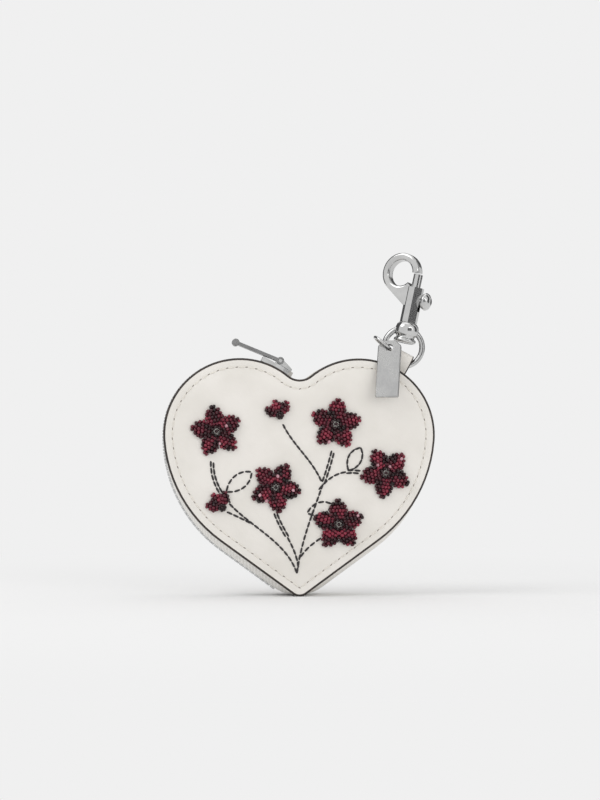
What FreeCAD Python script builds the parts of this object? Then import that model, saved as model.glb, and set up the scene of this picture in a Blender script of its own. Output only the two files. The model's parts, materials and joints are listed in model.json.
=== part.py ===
import FreeCAD, Part
import math
import os
from types import SimpleNamespace

import Sketcher
from FreeCAD import Placement, Rotation, Vector

# Heart shaped coin purse with a round-the-side zip, a hanger ring, a hang tag and a bolt snap.
# Frame: X to the right, Y towards the back, Z up, lowest point of the heart at Z = 0.

# Driving sizes in millimetres and degrees
SIZES = {
    # heart outline
    "heart_width": 95.0,
    "heart_height": 83.0,
    "lobe_radius": 26.7,
    "notch_radius": 6.1,
    "side_radius": 48.0,
    "side_slope": 36.0,
    "tip_radius": 4.0,
    # layers of the two shells
    "inner_depth": 15.4,
    "leather": 1.4,
    "edge_round": 0.45,
    "board": 0.6,
    "lining": 0.4,
    "lining_inset": 2.3,
    # raised middle of the two leather faces
    "crown_start": 0.75,
    "crown_shoulder": 0.6,
    "crown_shoulder_inset": 9.0,
    "crown_height": 1.0,
    "crown_inset": 18.0,
    # beaded blossoms on the leather faces
    "blossom_radius": 8.8,
    "blossom_slant": 2.4,
    "blossom_rise": 1.5,
    # strip round the sides
    "web_inset": 1.0,
    "flange_width": 6.0,
    "fit_gap": 0.3,
    "gusset_wall": 0.9,
    "tape_wall": 0.6,
    "chain_inset": 0.9,
    "chain_bulge": 1.6,
    "centre_gap": 0.5,
    # zip teeth and stops
    "tooth_pitch": 2.2,
    "tooth_thickness": 0.95,
    "tooth_height": 2.2,
    "tooth_head": 0.45,
    "tooth_leg": 2.6,
    "tape_reach": 1.3,
    "stop_length": 1.6,
    "zip_end_x": 6.0,
    # zip slider and pull
    "slider_length": 12.0,
    "slider_rear_width": 8.2,
    "slider_nose_width": 9.8,
    "slider_plate": 0.9,
    "channel_top": 1.5,
    "channel_depth": 3.7,
    "channel_width": 6.0,
    "slot_top": 0.7,
    "slot_depth": 2.1,
    "wedge_width": 1.5,
    "bridge_width": 2.4,
    "bridge_bar": 1.0,
    "pivot_height": 4.1,
    "lug_radius": 1.2,
    "pin_radius": 0.6,
    "pin_clearance": 0.05,
    "pull_length": 17.0,
    "pull_width": 5.0,
    "pull_thickness": 1.2,
    "pull_barrel_radius": 1.3,
    "fork_depth": 2.3,
    "fork_clearance": 0.3,
    "pull_drop": 6.8,
    # hanger tab and ring
    "tab_angle": 62.6,
    "tab_width": 7.6,
    "tab_shift": 1.1,
    "tab_leather": 1.1,
    "tab_rise": 6.8,
    "tab_tail": 5.5,
    "tab_set_back": 2.2,
    "ring_radius": 6.7,
    "ring_wire": 1.0,
    "ring_offset": 1.3,
    "ring_clearance": 0.15,
    # jump ring and tag
    "jump_radius": 3.65,
    "jump_wire": 0.5,
    "jump_angle": 175.0,
    "jump_slope": 40.0,
    "jump_side": 0.85,
    "tag_angle": 42.0,
    "tag_width": 8.2,
    "tag_length": 21.5,
    "tag_thickness": 1.3,
    "tag_hole": 1.35,
    "tag_hole_drop": 2.9,
    "tag_corner": 2.0,
    "tag_bevel": 0.3,
    "tag_tilt": 21.5,
    "tag_turn": 15.0,
    # bolt snap
    "eye_angle": 78.0,
    "collar_radius": 4.2,
    "collar_height": 7.0,
    "collar_roof": 0.8,
    "collar_round": 0.5,
    "collar_groove": 1.0,
    "collar_flange": 1.7,
    "swivel_gap": 0.2,
    "stem_radius": 1.2,
    "stem_head": 0.7,
    "hook_turn": 35.0,
    "barrel_width": 6.2,
    "barrel_depth": 5.4,
    "barrel_height": 12.6,
    "barrel_floor": 2.0,
    "barrel_bevel": 2.0,
    "barrel_lip": 0.9,
    "bore_radius": 1.75,
    "bolt_radius": 1.6,
    "bolt_foot": 7.0,
    "bolt_travel": 3.0,
    "eye_radius": 4.6,
    "eye_wall": 2.6,
    "eye_offset": 6.4,
    "eye_height": 17.0,
    "nose_angle": 8.0,
    "nose_gap": 0.3,
    "neck_angle": 235.0,
    "hook_thickness": 4.0,
    "hook_round": 0.9,
    "knob_stem_radius": 0.75,
    "knob_radius": 3.1,
    "knob_length": 3.0,
    "knob_stand": 0.5,
    "spring_wire": 0.15,
    "spring_turns": 4,
    # distance of the mid plane behind the origin
    "mid_plane": 2.8,
}

doc = FreeCAD.newDocument("heart_purse")
sheet = doc.addObject("Spreadsheet::Sheet", "sizes")
for row, (name, number) in enumerate(SIZES.items(), start=1):
    sheet.set(f"A{row}", name)
    sheet.set(f"B{row}", str(number))
    sheet.setAlias(f"B{row}", name)
doc.recompute()


class Size:
    """A number together with the sheet formula that gives it."""

    def __init__(self, value, formula):
        self.value = value
        self.formula = formula

    def __add__(self, other):
        other = as_size(other)
        return Size(self.value + other.value, f"({self.formula} + {other.formula})")

    def __sub__(self, other):
        other = as_size(other)
        return Size(self.value - other.value, f"({self.formula} - {other.formula})")

    def __mul__(self, other):
        other = as_size(other)
        return Size(self.value * other.value, f"({self.formula} * {other.formula})")

    def __truediv__(self, other):
        other = as_size(other)
        return Size(self.value / other.value, f"({self.formula} / {other.formula})")

    def __neg__(self):
        return Size(-self.value, f"(0 - {self.formula})")


def as_size(number):
    return number if isinstance(number, Size) else Size(number, str(number))


def cosine(angle):
    return Size(math.cos(math.radians(angle.value)), f"cos({angle.formula})")


def sine(angle):
    return Size(math.sin(math.radians(angle.value)), f"sin({angle.formula})")


s = SimpleNamespace(**{name: Size(float(number), f"sizes.{name}") for name, number in SIZES.items()})

# Sizes that follow from the driving ones
lobe_x = s.heart_width / 2 - s.lobe_radius
lobe_z = s.heart_height - s.lobe_radius
half_depth = s.inner_depth / 2
mid_radius = s.lobe_radius - s.chain_inset
tip_rise = cosine(s.side_slope) * s.gusset_wall * 0.55
bulge_tip = s.tip_radius + (s.chain_bulge + tip_rise) / (as_size(1) - cosine(s.side_slope))


# Sketch helpers

def bind(target, path, amount):
    target.setExpression(path, as_size(amount).formula)


def new_body(label):
    body = doc.addObject("PartDesign::Body", label)
    body.Label = label
    return body


def new_sketch(body, name, plane, offset=0):
    sketch = body.newObject("Sketcher::SketchObject", name)
    support = [item for item in body.Origin.OriginFeatures if item.Role == plane][0]
    sketch.AttachmentSupport = [(support, "")]
    sketch.MapMode = "FlatFace"
    bind(sketch, "AttachmentOffset.Base.z", offset)
    return sketch


def hold(sketch, kind, *where, size=None, unit=""):
    """Add one constraint, bound to the sheet when it has a size."""
    if size is None:
        return sketch.addConstraint(Sketcher.Constraint(kind, *where))
    amount = as_size(size)
    number = math.radians(amount.value) if unit else amount.value
    index = sketch.addConstraint(Sketcher.Constraint(kind, *where, number))
    sketch.setExpression(f"Constraints[{index}]", amount.formula + unit)
    return index


def put_point(sketch, element, end, x, z):
    """Fix one point of an element at a place in the sketch, measured from its origin."""
    for kind, amount in (("DistanceX", as_size(x)), ("DistanceY", as_size(z))):
        if abs(amount.value) < 1e-9:
            axis = -2 if kind == "DistanceX" else -1
            hold(sketch, "PointOnObject", element, end, axis)
        else:
            hold(sketch, kind, -1, 1, element, end, size=amount)


def polygon(sketch, corners):
    """Closed straight outline with every corner bound to the sheet."""
    places = [(as_size(x), as_size(z)) for x, z in corners]
    points = [Vector(x.value, z.value, 0) for x, z in places]
    first = sketch.GeometryCount
    count = len(points)
    for index, point in enumerate(points):
        sketch.addGeometry(Part.LineSegment(point, points[(index + 1) % count]))
    for index in range(count):
        hold(sketch, "Coincident", first + index, 2, first + (index + 1) % count, 1)
    for index, (x, z) in enumerate(places):
        put_point(sketch, first + index, 1, x, z)


def circle(sketch, x, z, radius):
    x, z, radius = as_size(x), as_size(z), as_size(radius)
    centre = Vector(x.value, z.value, 0)
    index = sketch.addGeometry(Part.Circle(centre, Vector(0, 0, 1), radius.value))
    put_point(sketch, index, 3, x, z)
    hold(sketch, "Radius", index, size=radius)


def arc(centre, radius, start, end):
    """Arc of a circle, counter-clockwise from start to end in degrees."""
    ring = Part.Circle(Vector(centre[0], centre[1], 0), Vector(0, 0, 1), radius)
    return Part.ArcOfCircle(ring, math.radians(start), math.radians(end))


def pad(body, name, sketch, length, reverse=False, middle=False):
    feature = body.newObject("PartDesign::Pad", name)
    feature.Profile = sketch
    bind(feature, "Length", length)
    feature.Reversed = reverse
    feature.Midplane = middle
    return feature


def pocket(body, name, sketch, length=None, reverse=False, middle=False):
    feature = body.newObject("PartDesign::Pocket", name)
    feature.Profile = sketch
    if length is None:
        feature.Type = "ThroughAll"
    else:
        bind(feature, "Length", length)
    feature.Reversed = reverse
    feature.Midplane = middle
    return feature


def soften(body, name, kind, feature, wanted, amount):
    """Fillet or chamfer the edges of a feature that a test picks out."""
    doc.recompute()
    edges = [f"Edge{i}" for i, edge in enumerate(feature.Shape.Edges, start=1) if wanted(edge)]
    dress = body.newObject(f"PartDesign::{kind}", name)
    dress.Base = (feature, edges)
    bind(dress, "Radius" if kind == "Fillet" else "Size", amount)
    return dress


# Heart outlines: two lobes, a hollow notch, bowed sides and a rounded tip

class Outline:
    """Heart outline made of tangent arcs, the same on both sides of the middle line."""

    def __init__(self, lobe_radius, side_radius, side_inset, tip_radius):
        self.lobe_radius = as_size(lobe_radius)
        self.side_radius = as_size(side_radius)
        self.tip_radius = as_size(tip_radius)
        self.notch_radius = s.notch_radius + s.lobe_radius - self.lobe_radius
        reach = self.tip_radius + side_inset - s.tip_radius
        self.tip_z = s.tip_radius + reach / cosine(s.side_slope)
        self.lobe = (-lobe_x.value, lobe_z.value)
        reach = s.lobe_radius.value + s.notch_radius.value
        self.notch = (0.0, lobe_z.value + math.sqrt(reach ** 2 - lobe_x.value ** 2))
        self.slope = s.side_slope.value
        self.side = self._side_centre()

    def _side_centre(self):
        """Centre of the bowed side, tangent to the lobe and to the straight run."""
        slope = math.radians(self.slope)
        outward = (-math.sin(slope), -math.cos(slope))
        along = (math.cos(slope), -math.sin(slope))
        line = outward[1] * self.tip_z.value + self.tip_radius.value
        lobe_level = outward[0] * self.lobe[0] + outward[1] * self.lobe[1]
        across = line - self.side_radius.value - lobe_level
        between = self.side_radius.value - self.lobe_radius.value
        forward = math.sqrt(between ** 2 - across ** 2)
        return tuple(self.lobe[i] + across * outward[i] + forward * along[i] for i in (0, 1))

    def angles(self):
        """Angles in degrees, on the left half, where one arc passes into the next."""
        notch = math.degrees(math.atan2(self.notch[1] - self.lobe[1], self.notch[0] - self.lobe[0]))
        side = math.degrees(math.atan2(self.lobe[1] - self.side[1], self.lobe[0] - self.side[0])) % 360
        return notch, side, 270 - self.slope

    def arcs(self, hand, notch_end, tip_end):
        """Notch, lobe, side, line and tip of one half; hand is -1 for left, 1 for right."""
        notch, side, line = self.angles()
        tip = (0.0, self.tip_z.value)
        spans = [
            (self.notch, self.notch_radius.value, notch + 180, notch_end),
            (self.lobe, self.lobe_radius.value, notch, side),
            (self.side, self.side_radius.value, side, line),
            None,
            (tip, self.tip_radius.value, line, tip_end),
        ]
        shapes = []
        for span in spans:
            if span is None:
                shapes.append(None)
                continue
            centre, radius, start, end = span
            if hand < 0:
                shapes.append(arc(centre, radius, start, end))
            else:
                shapes.append(arc((-centre[0], centre[1]), radius, 180 - end, 180 - start))
        upper = shapes[2].EndPoint if hand < 0 else shapes[2].StartPoint
        lower = shapes[4].StartPoint if hand < 0 else shapes[4].EndPoint
        shapes[3] = Part.LineSegment(upper, lower)
        return shapes

    def half_ends(self, cut):
        """Angles on the notch and tip arcs where the middle cut meets them."""
        notch = 270 - math.degrees(math.asin(cut.value / self.notch_radius.value))
        tip = 270 - math.degrees(math.asin(cut.value / self.tip_radius.value))
        return notch, tip

    def hold_half(self, sketch, first, hand):
        """Sizes and tangencies of the five elements of one half."""
        notch, lobe, side, line, tip = range(first, first + 5)
        near, far = (1, 2) if hand < 0 else (2, 1)
        hold(sketch, "Tangent", notch, near, lobe, near)
        hold(sketch, "Tangent", lobe, far, side, near)
        hold(sketch, "Tangent", side, far, line, 1)
        hold(sketch, "Tangent", line, 2, tip, near)
        put_point(sketch, lobe, 3, lobe_x * hand, lobe_z)
        put_point(sketch, tip, 3, 0, self.tip_z)
        hold(sketch, "PointOnObject", notch, 3, -2)
        hold(sketch, "Radius", notch, size=self.notch_radius)
        hold(sketch, "Radius", lobe, size=self.lobe_radius)
        hold(sketch, "Radius", side, size=self.side_radius)
        hold(sketch, "Radius", tip, size=self.tip_radius)
        fall = -s.side_slope if hand < 0 else s.side_slope + 180
        hold(sketch, "Angle", line, size=fall, unit=" * 1 deg")
        return (notch, far), (tip, far)

    def draw_half(self, sketch, hand, cut):
        """One half of the outline, open at the middle cut; returns its two free ends."""
        notch_end, tip_end = self.half_ends(cut)
        first = sketch.GeometryCount
        for shape in self.arcs(hand, notch_end, tip_end):
            sketch.addGeometry(shape)
        ends = self.hold_half(sketch, first, hand)
        for element, end in ends:
            hold(sketch, "DistanceX", -1, 1, element, end, size=cut * hand)
        return ends

    def draw_whole(self, sketch):
        """The closed heart."""
        left = self.arcs(-1, 270, 270)
        right = self.arcs(1, 270, 270)
        notch, _, line = self.angles()
        whole_notch = arc(self.notch, self.notch_radius.value, notch + 180, 360 - notch)
        whole_tip = arc((0.0, self.tip_z.value), self.tip_radius.value, line, 540 - line)
        for shape in [whole_notch, *left[1:4], whole_tip, *right[1:4]]:
            sketch.addGeometry(shape)
        tangents = [(0, 1, 1, 1), (1, 2, 2, 1), (2, 2, 3, 1), (3, 2, 4, 1),
                    (4, 2, 7, 2), (7, 1, 6, 1), (6, 2, 5, 1), (5, 2, 0, 2)]
        for joint in tangents:
            hold(sketch, "Tangent", *joint)
        for lobe, side, straight, hand in ((1, 2, 3, -1), (5, 6, 7, 1)):
            put_point(sketch, lobe, 3, lobe_x * hand, lobe_z)
            hold(sketch, "Radius", lobe, size=self.lobe_radius)
            hold(sketch, "Radius", side, size=self.side_radius)
            fall = -s.side_slope if hand < 0 else s.side_slope + 180
            hold(sketch, "Angle", straight, size=fall, unit=" * 1 deg")
        put_point(sketch, 4, 3, 0, self.tip_z)
        hold(sketch, "Radius", 4, size=self.tip_radius)
        hold(sketch, "Radius", 0, size=self.notch_radius)


def inset_heart(distance, tip_radius=None):
    """Heart outline a constant distance inside the panel's edge."""
    distance = as_size(distance)
    tip = s.tip_radius - distance if tip_radius is None else tip_radius
    return Outline(s.lobe_radius - distance, s.side_radius - distance, distance, tip)


def bulged_heart(outset):
    """Mid-plane outline of the side strip, moved outwards by a small amount."""
    return Outline(mid_radius + outset, s.side_radius + outset, -s.chain_bulge - outset, bulge_tip + outset)


def half_band(sketch, outer, inner, hand):
    """Closed strip between two half outlines, cut square at the middle line."""
    outer_ends = outer.draw_half(sketch, hand, s.centre_gap)
    inner_ends = inner.draw_half(sketch, hand, s.centre_gap)
    for (one, one_end), (two, two_end) in zip(outer_ends, inner_ends):
        start = sketch.getPoint(one, one_end)
        end = sketch.getPoint(two, two_end)
        cap = sketch.addGeometry(Part.LineSegment(start, end))
        hold(sketch, "Coincident", cap, 1, one, one_end)
        hold(sketch, "Coincident", cap, 2, two, two_end)


FRONT, BACK = 1, -1
LEFT, RIGHT = -1, 1
to_row = Placement(Vector(0, s.mid_plane.value, 0), Rotation())
nodes = []


def keep(item, place=None):
    """Set a finished piece in the row's frame and put it on the list to write."""
    item.Placement = to_row.multiply(place or Placement())
    nodes.append(item)


# Shells: leather, card board and lining, front and back

def slab(label, outline, face, thickness, side, towards):
    """Heart shaped layer between a face at a distance from the mid plane and its thickness."""
    body = new_body(label)
    sketch = new_sketch(body, f"{label}_outline", "XZ_Plane", face * side)
    outline.draw_whole(sketch)
    layer = pad(body, f"{label}_layer", sketch, thickness, reverse=(side * towards < 0))
    return body, layer


def add_crown(body, word, side):
    """Raised middle of a leather face, lofted through three outlines."""
    face = half_depth + s.leather
    start = inset_heart(s.crown_start)
    shoulder = inset_heart(s.crown_shoulder_inset, s.tip_radius)
    summit = inset_heart(s.crown_inset, s.tip_radius)
    levels = (face - s.edge_round * 0.25, face + s.crown_shoulder, face + s.crown_height)
    sections = []
    for index, (outline, level) in enumerate(zip((start, shoulder, summit), levels)):
        sketch = new_sketch(body, f"{word}_crown_{index}", "XZ_Plane", level * side)
        outline.draw_whole(sketch)
        sections.append(sketch)
    loft = body.newObject("PartDesign::AdditiveLoft", f"{word}_crown")
    loft.Profile = sections[0]
    loft.Sections = sections[1:]
    loft.Ruled = True


panels = {}
board_inset = s.web_inset + s.flange_width + s.fit_gap
for side, word in ((FRONT, "front"), (BACK, "back")):
    panel, layer = slab(f"{word}_panel", inset_heart(0), half_depth, s.leather, side, 1)
    outside = -side * (half_depth.value + s.leather.value)
    soften(panel, f"{word}_panel_round", "Fillet", layer,
           lambda edge, level=outside: all(abs(v.Y - level) < 1e-6 for v in edge.Vertexes), s.edge_round)
    add_crown(panel, word, side)
    keep(panel)
    panels[word] = panel
    stiff, _ = slab(f"{word}_board", inset_heart(board_inset, s.tip_radius), half_depth, s.board, side, -1)
    keep(stiff)
    cloth, _ = slab(f"{word}_lining", inset_heart(s.lining_inset), half_depth - s.board, s.lining, side, -1)
    keep(cloth)


# Beaded blossoms: one rosette of round petals set again and again on the leather faces

PETALS = 5


def draw_rosette(sketch, reach):
    """Closed outline of round petals about the origin."""
    out = reach * 0.615
    radius = reach * 0.385
    half = math.pi / PETALS
    meet = out.value * math.cos(half) + math.sqrt(radius.value ** 2 - (out.value * math.sin(half)) ** 2)
    ways = [math.pi / 2 + 2 * half * petal for petal in range(PETALS)]
    for way in ways:
        centre = (out.value * math.cos(way), out.value * math.sin(way))
        turns = []
        for edge in (way - half, way + half):
            aside = (meet * math.cos(edge) - centre[0], meet * math.sin(edge) - centre[1])
            turns.append(math.degrees(math.atan2(aside[1], aside[0])))
        start, end = turns
        sketch.addGeometry(arc(centre, radius.value, start, end if end > start else end + 360))
    for petal, way in enumerate(ways):
        hold(sketch, "Coincident", petal, 2, (petal + 1) % PETALS, 1)
        put_point(sketch, petal, 3, out * math.cos(way), out * math.sin(way))
        hold(sketch, "Radius", petal, size=radius)


rosette = new_body("rosette")
rosette_skirt = s.crown_height + s.leather * 0.4
rosette_sections = []
for name, level, reach in (("foot", -rosette_skirt, s.blossom_radius), ("rim", as_size(0), s.blossom_radius),
                           ("top", s.blossom_rise, s.blossom_radius - s.blossom_slant)):
    sketch = new_sketch(rosette, f"rosette_{name}", "XZ_Plane", level)
    draw_rosette(sketch, reach)
    rosette_sections.append(sketch)
dome = rosette.newObject("PartDesign::AdditiveLoft", "rosette_dome")
dome.Profile = rosette_sections[0]
dome.Sections = rosette_sections[1:]
dome.Ruled = True
doc.recompute()

# places: lobe, offsets from the middle of that lobe, turn in degrees
BLOSSOMS = {
    "front": ((LEFT, -8.2, 1.2, -10.0), (LEFT, 12.3, -18.3, 28.0), (RIGHT, -8.3, 3.7, 6.0),
              (RIGHT, 9.2, -13.3, -28.0), (RIGHT, -7.3, -31.3, 70.0)),
    "back": ((RIGHT, 6.2, -1.3, 6.0), (LEFT, 5.8, 1.7, -20.0), (RIGHT, -15.8, -23.3, 15.0)),
}
blossom_level = half_depth + s.leather + s.crown_height
for side, word in ((FRONT, "front"), (BACK, "back")):
    leather_face = panels[word].Shape.copy()
    leather_face.Placement = Placement()
    outwards = Rotation(Vector(0, 0, 1), 0 if side == FRONT else 180)
    row = []
    for hand, across, up, turn in BLOSSOMS[word]:
        solid = rosette.Shape.copy()
        place = Vector(lobe_x.value * hand + across, -blossom_level.value * side, lobe_z.value + up)
        solid.Placement = Placement(place, outwards.multiply(Rotation(Vector(0, 1, 0), turn)))
        row.append(solid.cut(leather_face))
    blossoms = doc.addObject("Part::Feature", f"{word}_blossoms")
    blossoms.Shape = Part.makeCompound(row)
    keep(blossoms)


# Strip round the sides: leather gusset on the right, zip tapes on the left

def add_flange(body, name, wall, hand, side):
    """Edge of the strip turned inwards and sewn behind a panel."""
    sketch = new_sketch(body, f"{name}_turn", "XZ_Plane", half_depth * side)
    inner = inset_heart(s.web_inset + s.flange_width, s.tip_radius)
    half_band(sketch, inset_heart(s.web_inset + wall * 0.3), inner, hand)
    return pad(body, f"{name}_flange", sketch, s.board, reverse=(side > 0))


def add_web(body, name, wall, hand, levels):
    """Wall of the strip, lofted through its outlines at the panels and at the mid plane."""
    sections = []
    for index, (level, at_panel) in enumerate(levels):
        sketch = new_sketch(body, f"{name}_section_{index}", "XZ_Plane", level)
        if at_panel:
            half_band(sketch, inset_heart(s.web_inset), inset_heart(s.web_inset + wall), hand)
        else:
            half_band(sketch, bulged_heart(wall / 2), bulged_heart(-wall / 2), hand)
        sections.append(sketch)
    loft = body.newObject("PartDesign::AdditiveLoft", f"{name}_web")
    loft.Profile = sections[0]
    loft.Sections = sections[1:]
    loft.Ruled = True
    return loft


tab_layers = s.tab_leather * 2
tab_depth = half_depth - s.tab_set_back
gusset = new_body("side_gusset")
add_web(gusset, "gusset", s.gusset_wall, RIGHT, [(half_depth, True), (as_size(0), False), (-half_depth, True)])
add_flange(gusset, "gusset_front", s.gusset_wall, RIGHT, FRONT)
add_flange(gusset, "gusset_back", s.gusset_wall, RIGHT, BACK)
slit = new_sketch(gusset, "tab_slit", "XZ_Plane", tab_depth)
radial = (cosine(s.tab_angle), sine(s.tab_angle))
slit_half = s.tab_width / 2 + s.fit_gap
slit_corners = []
for out, across in ((-1, -1), (1, -1), (1, 1), (-1, 1)):
    reach = s.lobe_radius + s.tab_rise * out
    aside = s.tab_shift + slit_half * across
    slit_corners.append((lobe_x + radial[0] * reach + radial[1] * aside,
                         lobe_z + radial[1] * reach - radial[0] * aside))
polygon(slit, slit_corners)
pocket(gusset, "tab_slit_cut", slit, tab_layers + s.fit_gap * 0.5, middle=True)
keep(gusset)

tape_bend = s.tooth_leg + s.fit_gap
for side, word in ((FRONT, "front"), (BACK, "back")):
    tape = new_body(f"zip_tape_{word}")
    add_web(tape, f"tape_{word}", s.tape_wall, LEFT, [(half_depth * side, True), (tape_bend * side, False), (s.tape_reach * side, False)])
    add_flange(tape, f"tape_{word}", s.tape_wall, LEFT, side)
    keep(tape)


# Zip teeth: one tooth set again and again along the mid-plane outline

tooth = new_body("tooth")
tooth_sketch = new_sketch(tooth, "tooth_outline", "YZ_Plane")
half_tooth = s.tooth_height / 2
slot_half = s.tape_wall / 2 + s.fit_gap * 0.2
slot_end = s.tape_reach - s.fit_gap * 0.4
shoulder = s.tooth_head * 0.2
polygon(tooth_sketch, [
    (-s.tooth_leg, -half_tooth),
    (shoulder, -half_tooth),
    (s.tooth_head, -half_tooth * 0.55),
    (s.tooth_head, half_tooth * 0.55),
    (shoulder, half_tooth),
    (-s.tooth_leg, half_tooth),
    (-s.tooth_leg, slot_half),
    (-slot_end, slot_half),
    (-slot_end, -slot_half),
    (-s.tooth_leg, -slot_half),
])
pad(tooth, "tooth_block", tooth_sketch, s.tooth_thickness, middle=True)
doc.recompute()


def in_space(point):
    return Vector(point.x, 0, point.y)


chain = bulged_heart(as_size(0))
chain_arcs = chain.arcs(LEFT, *chain.half_ends(s.zip_end_x))
stop_turn = math.degrees(s.stop_length.value / mid_radius.value)
stop_angle = chain.angles()[0] + stop_turn * 0.5
stop_to_slider = s.slider_length.value * 0.322
slider_angle = stop_angle + math.degrees(stop_to_slider / mid_radius.value)
chain_arcs[1] = arc(chain.lobe, chain.lobe_radius.value, slider_angle, chain.angles()[1])
chain_edges = []
for piece in chain_arcs[1:]:
    middle = piece.value((piece.FirstParameter + piece.LastParameter) / 2)
    ends = (in_space(piece.StartPoint), in_space(piece.EndPoint))
    if isinstance(piece, Part.LineSegment):
        chain_edges.append(Part.makeLine(*ends))
    else:
        chain_edges.append(Part.Arc(ends[0], in_space(middle), ends[1]).toShape())
chain_length = sum(edge.Length for edge in chain_edges)


def on_chain(distance):
    """Placement on the closed zip: local X to the notch, Y to the back, Z outwards."""
    edges = list(chain_edges)
    while distance > edges[0].Length and len(edges) > 1:
        distance -= edges.pop(0).Length
    edge = edges[0]
    at = edge.getParameterByLength(distance)
    tangent = edge.tangentAt(at)
    turn = math.degrees(math.atan2(tangent.z, -tangent.x))
    return Placement(edge.valueAt(at), Rotation(Vector(0, 1, 0), turn))


pitch = s.tooth_pitch.value
end_room = s.stop_length.value + 2 * s.fit_gap.value
pairs = int((chain_length - end_room) / pitch)
for word, turn, start in (("front", 0, 0.25), ("back", 180, 0.75)):
    half_turn = Placement(Vector(), Rotation(Vector(0, 0, 1), turn))
    row = []
    for count in range(pairs):
        solid = tooth.Shape.copy()
        solid.Placement = on_chain((count + start) * pitch).multiply(half_turn)
        row.append(solid)
    teeth = doc.addObject("Part::Feature", f"zip_teeth_{word}")
    teeth.Shape = Part.makeCompound(row)
    keep(teeth)

# Stops: one clamped on each tape at the notch, one across both tapes at the lower end
stop_top = s.slot_top - s.fit_gap * 0.2
for side, word in ((FRONT, "front"), (BACK, "back")):
    stop = new_body(f"zip_top_stop_{word}")
    sketch = new_sketch(stop, f"stop_{word}_outline", "YZ_Plane")
    near = -(s.tape_reach - s.fit_gap * 0.4) * side
    far = -s.tooth_leg * side
    lip = -(s.wedge_width / 2 + s.fit_gap * 0.6) * side
    polygon(sketch, [
        (far, -half_tooth * 0.8), (lip, -half_tooth * 0.8), (lip, stop_top),
        (far, stop_top), (far, slot_half), (near, slot_half), (near, -slot_half), (far, -slot_half),
    ])
    pad(stop, f"stop_{word}_block", sketch, s.stop_length, middle=True)
    reach = math.radians(stop_angle)
    point = Vector(chain.lobe[0] + mid_radius.value * math.cos(reach), 0,
                   chain.lobe[1] + mid_radius.value * math.sin(reach))
    keep(stop, Placement(point, Rotation(Vector(0, 1, 0), 90 - stop_angle)))

end_stop = new_body("zip_bottom_stop")
sketch = new_sketch(end_stop, "end_stop_outline", "YZ_Plane")
polygon(sketch, [
    (-s.tooth_leg, -half_tooth), (s.tooth_leg, -half_tooth), (s.tooth_leg, -slot_half), (slot_end, -slot_half),
    (slot_end, slot_half), (s.tooth_leg, slot_half), (s.tooth_leg, half_tooth), (-s.tooth_leg, half_tooth),
    (-s.tooth_leg, slot_half), (-slot_end, slot_half), (-slot_end, -slot_half), (-s.tooth_leg, -slot_half),
])
pad(end_stop, "end_stop_block", sketch, s.stop_length, middle=True)
keep(end_stop, on_chain(pairs * pitch + s.fit_gap.value + s.stop_length.value / 2))


# Zip slider: two plates joined by a wedge, lips that hold the teeth, and a bridge with a pivot lug

slider = new_body("zip_slider")
half_slider = s.slider_length / 2
plate_top = s.channel_top + s.slider_plate
channel_floor = s.channel_top - s.channel_depth
plate_floor = channel_floor - s.slider_plate
plan = new_sketch(slider, "slider_plan", "XY_Plane", plate_floor)
rear = s.slider_rear_width / 2
nose = s.slider_nose_width / 2
polygon(plan, [
    (-half_slider, -rear), (-half_slider * 0.1, -rear), (half_slider * 0.4, -nose), (half_slider * 0.75, -nose),
    (half_slider, -nose * 0.62), (half_slider * 0.88, 0), (half_slider, nose * 0.62), (half_slider * 0.75, nose),
    (half_slider * 0.4, nose), (-half_slider * 0.1, rear), (-half_slider, rear),
])
pad(slider, "slider_block", plan, plate_top - plate_floor)
lane = new_sketch(slider, "slider_channel", "YZ_Plane")
half_lane = s.channel_width / 2
polygon(lane, [(-half_lane, channel_floor), (half_lane, channel_floor),
               (half_lane, s.channel_top), (-half_lane, s.channel_top)])
pocket(slider, "slider_channel_cut", lane, middle=True)
gap = new_sketch(slider, "slider_slot", "YZ_Plane")
polygon(gap, [(-nose * 1.1, s.slot_top - s.slot_depth), (nose * 1.1, s.slot_top - s.slot_depth),
              (nose * 1.1, s.slot_top), (-nose * 1.1, s.slot_top)])
pocket(slider, "slider_slot_cut", gap, middle=True)
wedge = new_sketch(slider, "slider_wedge", "XY_Plane", channel_floor - s.slider_plate * 0.5)
polygon(wedge, [(half_slider * 0.2, 0), (half_slider * 0.62, -s.wedge_width / 2),
                (half_slider * 0.86, 0), (half_slider * 0.62, s.wedge_width / 2)])
pad(slider, "slider_wedge_pad", wedge, s.channel_depth + s.slider_plate)
bridge = new_sketch(slider, "slider_bridge", "XZ_Plane")
lug = s.lug_radius
polygon(bridge, [
    (-lug, plate_top - s.slider_plate * 0.5), (lug, plate_top - s.slider_plate * 0.5), (lug, plate_top + s.bridge_bar * 0.4),
    (half_slider * 0.68, plate_top + s.bridge_bar * 0.4), (half_slider * 0.68, plate_top - s.slider_plate * 0.5),
    (half_slider * 0.86, plate_top - s.slider_plate * 0.5), (half_slider * 0.86, plate_top + s.bridge_bar),
    (half_slider * 0.7, plate_top + s.bridge_bar * 1.4), (lug, s.pivot_height + lug * 0.55),
    (lug * 0.55, s.pivot_height + lug), (-lug * 0.55, s.pivot_height + lug), (-lug, s.pivot_height + lug * 0.55),
])
circle(bridge, 0, s.pivot_height, s.pin_radius + s.pin_clearance)
pad(slider, "slider_bridge_pad", bridge, s.bridge_width, middle=True)
slider_turn = Rotation(Vector(0, 1, 0), 90 - slider_angle)
reach = math.radians(slider_angle)
slider_base = Vector(chain.lobe[0] + mid_radius.value * math.cos(reach), 0,
                     chain.lobe[1] + mid_radius.value * math.sin(reach))
slider_place = Placement(slider_base, slider_turn)
keep(slider, slider_place)

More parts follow.
